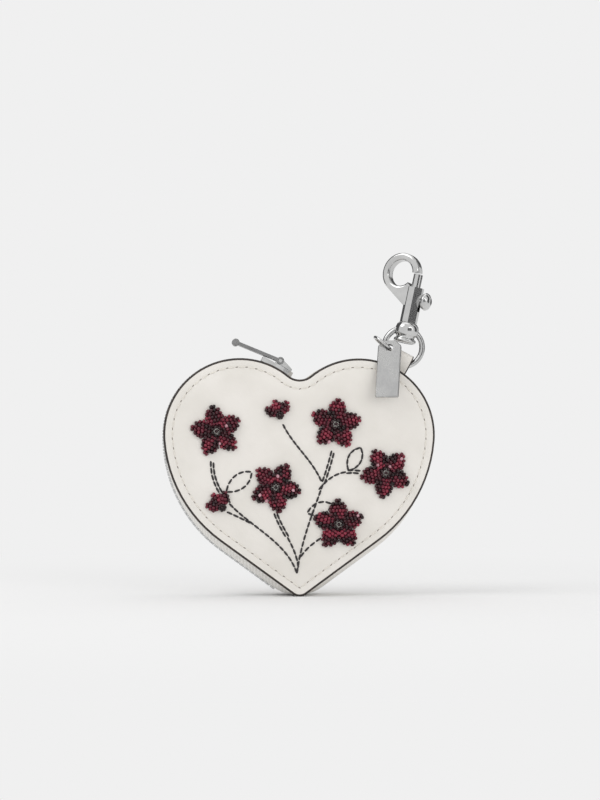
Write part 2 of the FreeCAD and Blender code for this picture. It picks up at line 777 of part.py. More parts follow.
# Pull: forked flat bar with a rolled end, pinned to the lug
pivot_place = slider_place.multiply(Placement(Vector(0, 0, s.pivot_height.value), Rotation()))
pull_place = pivot_place.multiply(Placement(Vector(), Rotation(Vector(0, 1, 0), -s.pull_drop.value)))
pull = new_body("zip_pull")
bar = new_sketch(pull, "pull_bar", "XZ_Plane")
half_bar = s.pull_thickness / 2
polygon(bar, [(-s.pull_length, -half_bar), (0, -half_bar), (0, half_bar), (-s.pull_length, half_bar)])
pad(pull, "pull_bar_pad", bar, s.pull_width, middle=True)
roll = new_sketch(pull, "pull_roll", "XZ_Plane")
circle(roll, -s.pull_length, 0, s.pull_barrel_radius)
pad(pull, "pull_roll_pad", roll, s.pull_width, middle=True)
barrel = new_sketch(pull, "pull_barrel", "XZ_Plane")
circle(barrel, 0, 0, s.pull_barrel_radius)
pad(pull, "pull_barrel_pad", barrel, s.pull_width, middle=True)
fork = new_sketch(pull, "pull_fork", "XY_Plane")
fork_half = s.bridge_width / 2 + s.fork_clearance
polygon(fork, [(-s.fork_depth, -fork_half), (s.fork_depth, -fork_half),
               (s.fork_depth, fork_half), (-s.fork_depth, fork_half)])
pocket(pull, "pull_fork_cut", fork, middle=True)
eye = new_sketch(pull, "pull_eye", "XZ_Plane")
circle(eye, 0, 0, s.pin_radius)
pocket(pull, "pull_eye_cut", eye, middle=True)
keep(pull, pull_place)

pin = new_body("pull_pin")
sketch = new_sketch(pin, "pin_outline", "XZ_Plane")
circle(sketch, 0, 0, s.pin_radius)
pad(pin, "pin_rod", sketch, s.pull_width, middle=True)
keep(pin, pull_place)


# Hanger tab: leather folded round the ring, its tail through the slit of the gusset

tab = new_body("hanger_tab")
side_view = new_sketch(tab, "tab_side", "YZ_Plane")
loop_inner = s.ring_wire + s.ring_clearance
loop_outer = loop_inner + s.tab_leather
loop_centre = s.lobe_radius + s.tab_rise - loop_outer
loop_foot = s.lobe_radius + s.fit_gap
tail_end = s.lobe_radius - s.tab_tail
tail_half = s.tab_leather
waist = s.lobe_radius - s.web_inset + s.fit_gap
polygon(side_view, [
    (-tail_half, tail_end), (tail_half, tail_end), (tail_half, waist), (loop_outer, loop_foot + s.tab_leather),
    (loop_outer, loop_centre), (-loop_outer, loop_centre), (-loop_outer, loop_foot + s.tab_leather), (-tail_half, waist),
])
pad(tab, "tab_straps", side_view, s.tab_width, middle=True)
fold = new_sketch(tab, "tab_fold", "YZ_Plane")
circle(fold, 0, loop_centre, loop_outer)
pad(tab, "tab_fold_pad", fold, s.tab_width, middle=True)
for name, level in (("tab_loop_top", loop_centre), ("tab_loop_foot", s.lobe_radius + s.ring_offset)):
    hole = new_sketch(tab, name, "YZ_Plane")
    circle(hole, 0, level, loop_inner)
    pocket(tab, f"{name}_cut", hole, middle=True)
hollow = new_sketch(tab, "tab_hollow", "YZ_Plane")
polygon(hollow, [(-loop_inner, s.lobe_radius + s.ring_offset), (loop_inner, s.lobe_radius + s.ring_offset),
                 (loop_inner, loop_centre), (-loop_inner, loop_centre)])
pocket(tab, "tab_hollow_cut", hollow, middle=True)
tab_turn = Rotation(Vector(0, 1, 0), 90 - s.tab_angle.value)
tab_base = Vector(lobe_x.value, -tab_depth.value, lobe_z.value)
keep(tab, Placement(tab_base + tab_turn.multVec(Vector(s.tab_shift.value, 0, 0)), tab_turn))

# Rings of round wire
ring_reach = s.lobe_radius.value + s.ring_offset.value + s.ring_radius.value
ring_centre = tab_base + tab_turn.multVec(Vector(0, 0, ring_reach))


def wire_ring(label, radius, wire, place):
    ring = doc.addObject("Part::Torus", label)
    ring.Label = label
    bind(ring, "Radius1", radius)
    bind(ring, "Radius2", wire)
    keep(ring, place)


wire_ring("hanger_ring", s.ring_radius, s.ring_wire, Placement(ring_centre, Rotation(Vector(1, 0, 0), 90)))


def polar(angle, distance):
    """Offset in the ring's own plane."""
    turn = math.radians(angle)
    return Vector(distance * math.cos(turn), 0, distance * math.sin(turn))


jump_turn = Rotation(Vector(0, 1, 0), s.jump_slope.value)
jump_forward = s.jump_radius.value - s.jump_wire.value - s.ring_wire.value - 3.5 * s.ring_clearance.value
ring_point = ring_centre + polar(s.jump_angle.value, s.ring_radius.value)
jump_centre = ring_point + jump_turn.multVec(Vector(-s.jump_side.value, -jump_forward, 0))
wire_ring("jump_ring", s.jump_radius, s.jump_wire, Placement(jump_centre, jump_turn))

# Hang tag: bare plate with cut top corners, hung on the jump ring
tag = new_body("hang_tag")
face = new_sketch(tag, "tag_face", "XZ_Plane")
half_tag = s.tag_width / 2
tag_foot = s.tag_hole_drop - s.tag_length
polygon(face, [
    (-half_tag, tag_foot), (half_tag, tag_foot), (half_tag, s.tag_hole_drop - s.tag_corner),
    (half_tag - s.tag_corner, s.tag_hole_drop), (s.tag_corner - half_tag, s.tag_hole_drop),
    (-half_tag, s.tag_hole_drop - s.tag_corner),
])
circle(face, 0, 0, s.tag_hole)
plate = pad(tag, "tag_plate", face, s.tag_thickness, middle=True)
face_level = s.tag_thickness.value / 2
soften(tag, "tag_bevel", "Chamfer", plate,
       lambda edge: all(abs(abs(v.Y) - face_level) < 1e-6 for v in edge.Vertexes)
       and isinstance(edge.Curve, Part.Line), s.tag_bevel)
swing = math.radians(s.tag_angle.value)
tag_base = jump_centre + jump_turn.multVec(Vector(math.cos(swing), -math.sin(swing), 0) * s.jump_radius.value)
tag_turn = Rotation(Vector(0, 0, 1), -s.tag_turn.value).multiply(Rotation(Vector(1, 0, 0), -s.tag_tilt.value))
keep(tag, Placement(tag_base, tag_turn))


# Bolt snap, drawn with its barrel upright on Z and the foot of the barrel at the origin

wire_level = s.swivel_gap + s.collar_roof + s.ring_wire + s.ring_clearance
lean = Rotation(Vector(0, 1, 0), 90 - s.eye_angle.value)
barrel_foot = ring_centre + polar(s.eye_angle.value, s.ring_radius.value + wire_level.value)
eye_place = Placement(barrel_foot, lean)
hook_place = Placement(barrel_foot, lean.multiply(Rotation(Vector(0, 0, 1), -s.hook_turn.value)))

swivel = new_body("swivel_eye")
turned = new_sketch(swivel, "swivel_profile", "XZ_Plane")
collar_top = -s.swivel_gap
collar_foot = collar_top - s.collar_height
head_foot = s.barrel_floor + s.swivel_gap * 0.5
head_top = head_foot + s.stem_head
head_radius = s.bore_radius - s.swivel_gap * 0.5
flange_top = collar_foot + s.collar_flange
flange_radius = s.collar_radius - s.collar_round * 0.6
groove_radius = s.collar_radius - s.collar_groove
belly_foot = flange_top + s.collar_round * 3
belly_top = collar_top - s.collar_round * 4
polygon(turned, [
    (0, collar_foot), (flange_radius - s.collar_round, collar_foot), (flange_radius, collar_foot + s.collar_round),
    (flange_radius, flange_top - s.collar_round), (groove_radius, flange_top),
    (groove_radius, flange_top + s.collar_round * 0.5), (s.collar_radius, belly_foot), (s.collar_radius, belly_top),
    (s.collar_radius - s.collar_round * 0.6, collar_top - s.collar_round * 1.8),
    (s.collar_radius - s.collar_round * 2.2, collar_top), (s.stem_radius, collar_top), (s.stem_radius, head_foot),
    (head_radius, head_foot), (head_radius, head_top), (0, head_top),
])
spun = swivel.newObject("PartDesign::Revolution", "swivel_turned")
spun.Profile = turned
spun.ReferenceAxis = (turned, ["V_Axis"])
spun.Angle = 360
window = new_sketch(swivel, "swivel_window", "YZ_Plane")
window_half = s.ring_wire + s.ring_clearance * 2
window_top = collar_top - s.collar_roof
dip = s.collar_radius * s.collar_radius / (s.ring_radius * 2) * 1.25
window_foot = window_top - s.ring_wire * 2 - s.ring_clearance * 2 - dip
polygon(window, [(-window_half, window_foot), (window_half, window_foot), (window_half, window_top), (-window_half, window_top)])
pocket(swivel, "swivel_window_cut", window, middle=True)
keep(swivel, eye_place)

hook = new_body("hook_body")
outline = new_sketch(hook, "hook_outline", "XZ_Plane")
eye_x, eye_z = -s.eye_offset, s.eye_height
outer_radius = s.eye_radius + s.eye_wall
neck = math.radians(s.neck_angle.value)
nose_turn = math.radians(s.nose_angle.value)
lip_angle = -40.0
lip_turn = math.radians(lip_angle)


def round_eye(radius, turn):
    return Vector(eye_x.value + radius * math.cos(turn), eye_z.value + radius * math.sin(turn), 0)


eye_at = (eye_x.value, eye_z.value)
outer_arc = arc(eye_at, outer_radius.value, s.nose_angle.value, s.neck_angle.value)
inner_arc = arc(eye_at, s.eye_radius.value, s.nose_angle.value, 360 + lip_angle)
neck_start = round_eye(outer_radius.value, neck)
half_barrel = s.barrel_width / 2
half_barrel_depth = s.barrel_depth / 2
wall_x = -half_barrel
run = (wall_x.value - neck_start.x) / -math.sin(neck)
neck_end = Vector(wall_x.value, neck_start.y + run * math.cos(neck), 0)
inside_foot = Vector(0, neck_end.y, 0)
inside_top = Vector(0, s.barrel_height.value - s.barrel_lip.value, 0)
for shape in (
    outer_arc,
    Part.LineSegment(neck_start, neck_end),
    Part.LineSegment(neck_end, inside_foot),
    Part.LineSegment(inside_foot, inside_top),
    Part.LineSegment(inside_top, round_eye(s.eye_radius.value, lip_turn)),
    inner_arc,
    Part.LineSegment(round_eye(s.eye_radius.value, nose_turn), round_eye(outer_radius.value, nose_turn)),
):
    outline.addGeometry(shape)
hold(outline, "Tangent", 0, 2, 1, 1)
hold(outline, "Coincident", 1, 2, 2, 1)
hold(outline, "Coincident", 2, 2, 3, 1)
hold(outline, "Coincident", 3, 2, 4, 1)
hold(outline, "Coincident", 4, 2, 5, 2)
hold(outline, "Coincident", 5, 1, 6, 1)
hold(outline, "Coincident", 6, 2, 0, 1)
put_point(outline, 0, 3, eye_x, eye_z)
put_point(outline, 5, 3, eye_x, eye_z)
hold(outline, "Radius", 0, size=outer_radius)
hold(outline, "Radius", 5, size=s.eye_radius)
hold(outline, "DistanceX", -1, 1, 1, 2, size=wall_x)
hold(outline, "Horizontal", 2)
put_point(outline, 3, 2, 0, s.barrel_height - s.barrel_lip)
hold(outline, "Vertical", 3)
hold(outline, "Angle", 6, size=s.nose_angle, unit=" * 1 deg")
hold(outline, "PointOnObject", 0, 3, 6)
hold(outline, "DistanceX", 0, 2, 0, 3, size=-outer_radius * cosine(s.neck_angle))
hold(outline, "DistanceX", 5, 3, 5, 2, size=s.eye_radius * math.cos(lip_turn))
blank = pad(hook, "hook_plate", outline, s.hook_thickness, middle=True)
plate_level = s.hook_thickness.value / 2


def long_rim(edge):
    """Rims of the two arcs and of the neck on the flat faces of the hook."""
    flat = all(abs(abs(v.Y) - plate_level) < 1e-6 for v in edge.Vertexes)
    curved = isinstance(edge.Curve, Part.Circle)
    neck_rim = flat and not curved and abs(edge.Vertexes[0].X - edge.Vertexes[1].X) > 1 and edge.CenterOfMass.x < -4
    return flat and (curved or neck_rim)


soften(hook, "hook_rounding", "Fillet", blank, long_rim, s.hook_round)
tube = new_sketch(hook, "hook_barrel", "XY_Plane")
bevel_x = half_barrel - s.barrel_bevel
bevel_y = half_barrel_depth - s.barrel_bevel
polygon(tube, [
    (-bevel_x, -half_barrel_depth), (bevel_x, -half_barrel_depth), (half_barrel, -bevel_y), (half_barrel, bevel_y),
    (bevel_x, half_barrel_depth), (-bevel_x, half_barrel_depth), (-half_barrel, bevel_y), (-half_barrel, -bevel_y),
])
tube_pad = pad(hook, "hook_barrel_pad", tube, s.barrel_height)
bore = new_sketch(hook, "hook_bore", "XY_Plane", s.barrel_floor)
circle(bore, 0, 0, s.bore_radius)
pocket(hook, "hook_bore_cut", bore, s.barrel_height, reverse=True)
stem_hole = new_sketch(hook, "hook_stem_hole", "XY_Plane")
circle(stem_hole, 0, 0, s.stem_radius + s.swivel_gap * 0.5)
pocket(hook, "hook_stem_cut", stem_hole, s.barrel_floor * 1.5, reverse=True)
slot = new_sketch(hook, "hook_slot", "YZ_Plane")
slot_half_width = s.knob_stem_radius + s.swivel_gap * 0.5
stem_level = s.bolt_foot + s.knob_stem_radius * 1.6
slot_foot = stem_level - s.bolt_travel - slot_half_width - s.swivel_gap * 0.5
slot_top = stem_level + slot_half_width + s.swivel_gap * 0.5
polygon(slot, [(-slot_half_width, slot_foot), (slot_half_width, slot_foot),
               (slot_half_width, slot_top), (-slot_half_width, slot_top)])
pocket(hook, "hook_slot_cut", slot, s.barrel_width, reverse=True)
keep(hook, hook_place)

bolt = new_body("hook_bolt")
rod = new_sketch(bolt, "bolt_section", "XY_Plane", s.bolt_foot)
circle(rod, 0, 0, s.bolt_radius)
nose_level = s.eye_height + sine(s.nose_angle) * s.eye_radius
bolt_top = nose_level - s.nose_gap
pad(bolt, "bolt_rod", rod, bolt_top - s.bolt_foot)
seat = new_sketch(bolt, "bolt_seat", "YZ_Plane")
circle(seat, 0, stem_level, s.knob_stem_radius)
pocket(bolt, "bolt_seat_cut", seat, s.bolt_radius * 1.2, reverse=True)
keep(bolt, hook_place)

knob = new_body("bolt_knob")
turned = new_sketch(knob, "knob_profile", "XZ_Plane")
knob_start = half_barrel + s.knob_stand
knob_end = knob_start + s.knob_length
polygon(turned, [
    (0, stem_level), (knob_end, stem_level), (knob_end, stem_level + s.knob_radius * 0.55),
    (knob_end - s.knob_length * 0.3, stem_level + s.knob_radius * 0.92), (knob_end - s.knob_length * 0.5, stem_level + s.knob_radius),
    (knob_start + s.knob_length * 0.2, stem_level + s.knob_radius * 0.85), (knob_start, stem_level + s.knob_radius * 0.5),
    (knob_start, stem_level + s.knob_stem_radius), (0, stem_level + s.knob_stem_radius),
])
spun = knob.newObject("PartDesign::Revolution", "knob_turned")
spun.Profile = turned
spun.ReferenceAxis = (turned, ["Edge1"])
spun.Angle = 360
keep(knob, hook_place)

# Spring coiled between the riveted head and the bolt, in quarter turns
wire = s.spring_wire.value
coil_radius = s.bore_radius.value - s.swivel_gap.value - wire
coil_foot = head_top.value + wire + s.swivel_gap.value * 0.25
coil_rise = s.bolt_foot.value - wire - s.swivel_gap.value * 0.25 - coil_foot
quarters = int(s.spring_turns.value) * 4


def on_coil(quarter):
    turn = math.radians(90 * quarter)
    return Vector(coil_radius * math.cos(turn), coil_radius * math.sin(turn), coil_foot + coil_rise * quarter / quarters)


coil = Part.Wire([Part.Arc(on_coil(n), on_coil(n + 0.5), on_coil(n + 1)).toShape() for n in range(quarters)])
start_edge = coil.Edges[0]
section = Part.Wire(Part.makeCircle(wire, on_coil(0), start_edge.tangentAt(start_edge.FirstParameter)))
spring = doc.addObject("Part::Feature", "bolt_spring")
spring.Shape = coil.makePipeShell([section], True, False)
keep(spring, hook_place)


# Test every piece and write it
doc.recompute()
for item in doc.Objects:
    bad = [word for word in item.State if word in ("Invalid", "Error")]
    if bad:
        raise RuntimeError(f"{item.Label}: {bad}")
os.makedirs("parts", exist_ok=True)
for item in nodes:
    if item.Shape.isNull() or not item.Shape.isValid():
        raise RuntimeError(f"{item.Label}: shape is not valid")
    item.Shape.exportStep(f"parts/{item.Label}.step")
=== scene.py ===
"""Looks of a heart shaped zip purse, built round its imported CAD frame.

Every piece is made in metres in the frame of the CAD model. Sizes in the classes are in millimetres, apart from the
studio's, which are in metres.
"""

from __future__ import annotations

import json
import logging
import math
import random
from dataclasses import dataclass, field, fields, replace
from enum import Enum
from typing import Any, Iterable, Iterator, Sequence

import bmesh
import bpy
from mathutils import Matrix, Vector, geometry, kdtree, noise

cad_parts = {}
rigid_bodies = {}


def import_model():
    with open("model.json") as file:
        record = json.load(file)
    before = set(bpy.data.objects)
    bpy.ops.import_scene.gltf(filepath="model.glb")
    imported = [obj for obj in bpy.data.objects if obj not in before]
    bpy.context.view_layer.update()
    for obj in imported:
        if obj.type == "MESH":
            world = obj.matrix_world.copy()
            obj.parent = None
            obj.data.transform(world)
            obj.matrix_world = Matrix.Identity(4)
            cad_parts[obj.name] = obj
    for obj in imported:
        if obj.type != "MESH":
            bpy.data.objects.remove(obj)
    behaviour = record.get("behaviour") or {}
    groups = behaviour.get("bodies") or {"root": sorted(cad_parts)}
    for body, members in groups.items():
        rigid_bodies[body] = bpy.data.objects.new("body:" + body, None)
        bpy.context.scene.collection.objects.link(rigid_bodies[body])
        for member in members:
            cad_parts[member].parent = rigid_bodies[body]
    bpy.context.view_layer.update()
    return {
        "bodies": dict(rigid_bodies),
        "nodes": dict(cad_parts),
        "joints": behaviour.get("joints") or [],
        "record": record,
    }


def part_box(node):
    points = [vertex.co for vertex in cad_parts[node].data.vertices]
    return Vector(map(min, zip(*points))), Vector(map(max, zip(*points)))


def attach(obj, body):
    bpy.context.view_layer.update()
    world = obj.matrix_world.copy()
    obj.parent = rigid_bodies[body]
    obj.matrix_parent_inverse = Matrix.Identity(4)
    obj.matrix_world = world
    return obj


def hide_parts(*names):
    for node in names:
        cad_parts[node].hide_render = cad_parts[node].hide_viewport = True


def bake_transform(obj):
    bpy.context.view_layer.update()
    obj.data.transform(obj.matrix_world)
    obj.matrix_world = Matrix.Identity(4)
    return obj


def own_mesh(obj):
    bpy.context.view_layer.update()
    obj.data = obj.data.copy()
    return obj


MM = 0.001
LOG = logging.getLogger("heart_purse")
# points nearer than this are one point, and heights nearer than the second are one level, both in metres
SAME_POINT = 1e-6
SAME_LEVEL = 1e-7


class Side(Enum):
    """The two leather faces; the value is the direction of the outside along Y."""

    FRONT = -1
    BACK = 1


class Hand(Enum):
    """The two halves of the heart, seen from the front."""

    LEFT = "left"
    RIGHT = "right"


class PatternSpace(Enum):
    """What a woven pattern follows: the row frame, or the length and width of a strip."""

    ROW = "row"
    STRIP = "strip"


def linear(hex_colour: str) -> tuple[float, float, float, float]:
    """Turn an sRGB hex colour into linear RGBA.

    Args:
        hex_colour: Colour such as "#E4E0DA".

    Returns:
        Linear red, green, blue and an alpha of one.
    """
    channels = [int(hex_colour[at:at + 2], 16) / 255 for at in (1, 3, 5)]
    return (*[c / 12.92 if c <= 0.04045 else ((c + 0.055) / 1.055) ** 2.4 for c in channels], 1.0)


def per_size(size_mm: float) -> float:
    """Texture scale whose features are about this many millimetres wide."""
    return 1.0 / (size_mm * MM)


def add_node(tree: bpy.types.NodeTree, kind: str, settings: dict[Any, Any] | None = None,
             links: dict[Any, bpy.types.NodeSocket] | None = None) -> bpy.types.Node:
    """Add one node with its settings and links.

    Args:
        tree: Node tree that gets the node.
        kind: Blender's identifier of the node.
        settings: Values by input name, input number or node property.
        links: Source sockets by input name or number.

    Returns:
        The new node.
    """
    node = tree.nodes.new(kind)
    for name, value in (settings or {}).items():
        if isinstance(name, int) or name in node.inputs:
            node.inputs[name].default_value = value
        else:
            setattr(node, name, value)
    for name, source in (links or {}).items():
        tree.links.new(source, node.inputs[name])
    return node


def set_ramp(node: bpy.types.Node, stops: Sequence[tuple[float, str]]) -> bpy.types.NodeSocket:
    """Set the colours of a ramp.

    Args:
        node: Colour ramp node.
        stops: Places from 0 to 1 with their hex colours.

    Returns:
        The ramp's colour output.
    """
    ramp = node.color_ramp
    while len(ramp.elements) < len(stops):
        ramp.elements.new(0.5)
    for element, (place, colour) in zip(ramp.elements, stops):
        element.position = place
        element.color = linear(colour)
    return node.outputs["Color"]


def ripple(tree: bpy.types.NodeTree, source: bpy.types.NodeSocket, length_mm: float) -> bpy.types.NodeSocket:
    """Let a wave run along a measure.

    Args:
        tree: Node tree that gets the wave.
        source: Measure in metres.
        length_mm: Length of a whole wave.

    Returns:
        Socket that swings between -1 and 1.
    """
    turn = add_node(tree, "ShaderNodeMath", {"operation": "MULTIPLY", 1: math.tau * per_size(length_mm)},
                    {0: source})
    wave = add_node(tree, "ShaderNodeMath", {"operation": "SINE"}, {0: turn.outputs["Value"]})
    return wave.outputs["Value"]


def looking_ray(tree: bpy.types.NodeTree) -> bpy.types.NodeSocket:
    """Test for the rays that look at things: camera, mirror and glass rays.

    Args:
        tree: Node tree that gets the test.

    Returns:
        Socket that is one for such a ray.
    """
    path = add_node(tree, "ShaderNodeLightPath")
    found = path.outputs["Is Camera Ray"]
    for kind in ("Is Glossy Ray", "Is Transmission Ray"):
        found = add_node(tree, "ShaderNodeMath", {"operation": "MAXIMUM"},
                         {0: found, 1: path.outputs[kind]}).outputs["Value"]
    return found


@dataclass(frozen=True)
class Gloss:
    """Roughness that follows a pattern.

    Attributes:
        smooth: Roughness at the pattern's low value.
        rough: Roughness at the pattern's high value.
        low: Value of the pattern where the surface is smooth.
        high: Value of the pattern where the surface is rough.
    """

    smooth: float
    rough: float
    low: float = 0.0
    high: float = 1.0


@dataclass(frozen=True)
class Relief:
    """Bump that follows a pattern: its strength, and its depth in millimetres."""

    strength: float
    depth: float


@dataclass(frozen=True)
class Finish:
    """A surface finish that is made into one material the first time it is used."""

    name: str
    gloss: Gloss | None = None
    relief: Relief | None = None

    def material(self) -> bpy.types.Material:
        """Make or find the material.

        Returns:
            The material of this finish.
        """
        found = bpy.data.materials.get(self.name)
        if found is not None:
            return found
        made = bpy.data.materials.new(self.name)
        made.use_nodes = True
        made.node_tree.nodes.clear()
        self.paint(made.node_tree)
        return made

    def paint(self, tree: bpy.types.NodeTree) -> None:
        """Fill the material's node tree."""
        raise NotImplementedError

    def coat(self, tree: bpy.types.NodeTree, pattern: bpy.types.NodeSocket, stops: Sequence[tuple[float, str]],
             settings: dict[str, Any], height: bpy.types.NodeSocket | None = None,
             shine: bpy.types.NodeSocket | None = None) -> None:
        """Let colour, gloss and relief follow their patterns, and add the shader with its output.

        Args:
            tree: Node tree of the material.
            pattern: Pattern of the colour.
            stops: Colours along that pattern, with their places from 0 to 1.
            settings: Constant values on the shader's own sockets.
            height: Pattern of the relief, if there is one.
            shine: Pattern of the gloss where it isn't the colour's.
        """
        ramp = add_node(tree, "ShaderNodeValToRGB", links={"Fac": pattern})
        links = {"Base Color": set_ramp(ramp, stops)}
        if self.gloss is not None:
            span = {"From Min": self.gloss.low, "From Max": self.gloss.high,
                    "To Min": self.gloss.smooth, "To Max": self.gloss.rough}
            gloss = add_node(tree, "ShaderNodeMapRange", span, {"Value": pattern if shine is None else shine})
            links["Roughness"] = gloss.outputs["Result"]
        if height is not None:
            bump = add_node(tree, "ShaderNodeBump",
                            {"Strength": self.relief.strength, "Distance": self.relief.depth * MM},
                            {"Height": height})
            links["Normal"] = bump.outputs["Normal"]
        shader = add_node(tree, "ShaderNodeBsdfPrincipled", settings, links)
        add_node(tree, "ShaderNodeOutputMaterial", links={"Surface": shader.outputs["BSDF"]})


@dataclass(frozen=True)
class SmoothLeather(Finish):
    """Pigment-finished calf leather, pressed smooth: soft broad gloss over a faint pebble grain."""

    gloss: Gloss = Gloss(0.40, 0.54)
    relief: Relief = Relief(0.22, 0.12)
    light: str = "#EAE6E0"
    shade: str = "#E2DED7"
    # real grain is near 0.3 mm and would not show, so it is drawn three times as coarse
    grain_mm: float = 0.9
    pore_mm: float = 0.45
    cloud_mm: float = 16.0

    def paint(self, tree: bpy.types.NodeTree) -> None:
        """Cloudy pale colour, pebble grain and uneven gloss.

        Args:
            tree: Node tree of the material.
        """
        row = add_node(tree, "ShaderNodeTexCoord").outputs["Object"]
        cloud = add_node(tree, "ShaderNodeTexNoise", {"Scale": per_size(self.cloud_mm), "Detail": 4.0},
                         {"Vector": row})
        pebble = add_node(tree, "ShaderNodeTexVoronoi",
                          {"Scale": per_size(self.grain_mm), "feature": "SMOOTH_F1"}, {"Vector": row})
        pore = add_node(tree, "ShaderNodeTexNoise", {"Scale": per_size(self.pore_mm), "Detail": 3.0},
                        {"Vector": row})
        grain = add_node(tree, "ShaderNodeMath", {"operation": "ADD"},
                         {0: pebble.outputs["Distance"], 1: pore.outputs["Fac"]})
        self.coat(tree, cloud.outputs["Fac"], [(0.35, self.shade), (0.65, self.light)],
                  {"Specular IOR Level": 0.42}, grain.outputs["Value"])


@dataclass(frozen=True)
class EdgePaintAndHoleShade(Finish):
    """Acrylic edge paint, brushed on in two coats: a dark rounded bead with a dull shine.

    In paler tones it is also the painted shade at the seam's holes.
    """

    gloss: Gloss = Gloss(0.32, 0.5)
    relief: Relief = Relief(0.3, 0.1)
    # at the seam's holes these two colours are the darker and paler painted shade
    dark: str = "#241D1A"
    worn: str = "#43362F"
    brush_mm: float = 1.4

    def paint(self, tree: bpy.types.NodeTree) -> None:
        """Dark coat that is thinner in places, with low ripples; at the seam's holes the same pattern is painted
        shade.

        Args:
            tree: Node tree of the material.
        """
        row = add_node(tree, "ShaderNodeTexCoord").outputs["Object"]
        mottle = add_node(tree, "ShaderNodeTexNoise", {"Scale": per_size(self.brush_mm), "Detail": 3.0},
                         {"Vector": row}).outputs["Fac"]
        self.coat(tree, mottle, [(0.45, self.dark), (0.75, self.worn)], {}, mottle)


@dataclass(frozen=True)
class WovenCloth(Finish):
    """Plain-woven polyester: small even checks of warp and weft, matt with a little sheen."""

    gloss: Gloss = Gloss(0.7, 0.85)
    relief: Relief = Relief(0.6, 0.12)
    warp: str = "#ECE9E4"
    weft: str = "#DAD6CF"
    thread_mm: float = 0.8
    space: PatternSpace = PatternSpace.ROW

    def paint(self, tree: bpy.types.NodeTree) -> None:
        """Crossed threads that carry colour and relief.

        Args:
            tree: Node tree of the material.
        """
        if self.space is PatternSpace.STRIP:
            ways = [add_node(tree, "ShaderNodeAttribute", {"attribute_name": name}).outputs["Fac"]
                    for name in ("along", "across")]
        else:
            row = add_node(tree, "ShaderNodeTexCoord").outputs["Object"]
            parts = add_node(tree, "ShaderNodeSeparateXYZ", links={"Vector": row})
            ways = [parts.outputs["X"], parts.outputs["Z"]]
        check = add_node(tree, "ShaderNodeMath", {"operation": "MULTIPLY"},
                         {number: ripple(tree, way, 2 * self.thread_mm) for number, way in enumerate(ways)})
        weave = add_node(tree, "ShaderNodeMapRange", {"From Min": -1.0, "From Max": 1.0},
                         {"Value": check.outputs["Value"]}).outputs["Result"]
        self.coat(tree, weave, [(0.2, self.weft), (0.8, self.warp)], {"Sheen Weight": 0.15}, weave)


# part of the haze pattern over which plating goes from bright to dull
HAZE = (0.3, 0.7)


@dataclass(frozen=True)
class Plating(Finish):
    """Bright nickel plate on die-cast zinc: clear mirror with a light haze from handling."""

    gloss: Gloss = Gloss(0.10, 0.20, *HAZE)
    relief: Relief = Relief(0.12, 0.05)
    bright: str = "#D2D2D1"
    dull: str = "#BFBFBF"
    haze_mm: float = 5.0
    # brushed plate has streaks this far apart across its length; zero for a plain polish
    streak_mm: float = 0.0
    streak_share: float = 0.6
    streak_run: tuple[float, float, float] = (1.0, 1.0, 0.03)

    def paint(self, tree: bpy.types.NodeTree) -> None:
        """Metal whose colour and gloss vary with haze and brushing.

        Args:
            tree: Node tree of the material.
        """
        row = add_node(tree, "ShaderNodeTexCoord").outputs["Object"]
        pattern = add_node(tree, "ShaderNodeTexNoise", {"Scale": per_size(self.haze_mm), "Detail": 3.0},
                           {"Vector": row}).outputs["Fac"]
        brushed = None
        if self.streak_mm:
            run = add_node(tree, "ShaderNodeMapping", {"Scale": self.streak_run}, {"Vector": row})
            brushed = add_node(tree, "ShaderNodeTexNoise", {"Scale": per_size(self.streak_mm), "Detail": 2.0},
                               {"Vector": run.outputs["Vector"]}).outputs["Fac"]
            mixed = add_node(tree, "ShaderNodeMath", {"operation": "MULTIPLY_ADD", 1: self.streak_share},
                             {0: brushed, 2: pattern})
            pattern = add_node(tree, "ShaderNodeMath", {"operation": "SUBTRACT", 1: self.streak_share / 2},
                               {0: mixed.outputs["Value"]}).outputs["Value"]
        self.coat(tree, pattern, [(0.35, self.bright), (0.7, self.dull)], {"Metallic": 1.0}, brushed)


@dataclass(frozen=True)
class SewingThread(Finish):
    """Twisted polyester sewing thread: slanting strands with a soft sheen."""

    gloss: Gloss = Gloss(0.5, 0.65)
    relief: Relief = Relief(0.5, 0.08)
    light: str = "#EFEBE3"
    shade: str = "#CFC9BF"
    # real strands are near 0.25 mm; drawn coarser so that they show
    strand_mm: float = 0.45

    def paint(self, tree: bpy.types.NodeTree) -> None:
        """Strands that repeat along each stitch.

        Args:
            tree: Node tree of the material.
        """
        along = add_node(tree, "ShaderNodeAttribute", {"attribute_name": "along"}).outputs["Fac"]
        twist = add_node(tree, "ShaderNodeMapRange", {"From Min": -1.0, "From Max": 1.0},
                         {"Value": ripple(tree, along, self.strand_mm)}).outputs["Result"]
        self.coat(tree, twist, [(0.1, self.shade), (0.7, self.light)], {"Sheen Weight": 0.1}, twist)


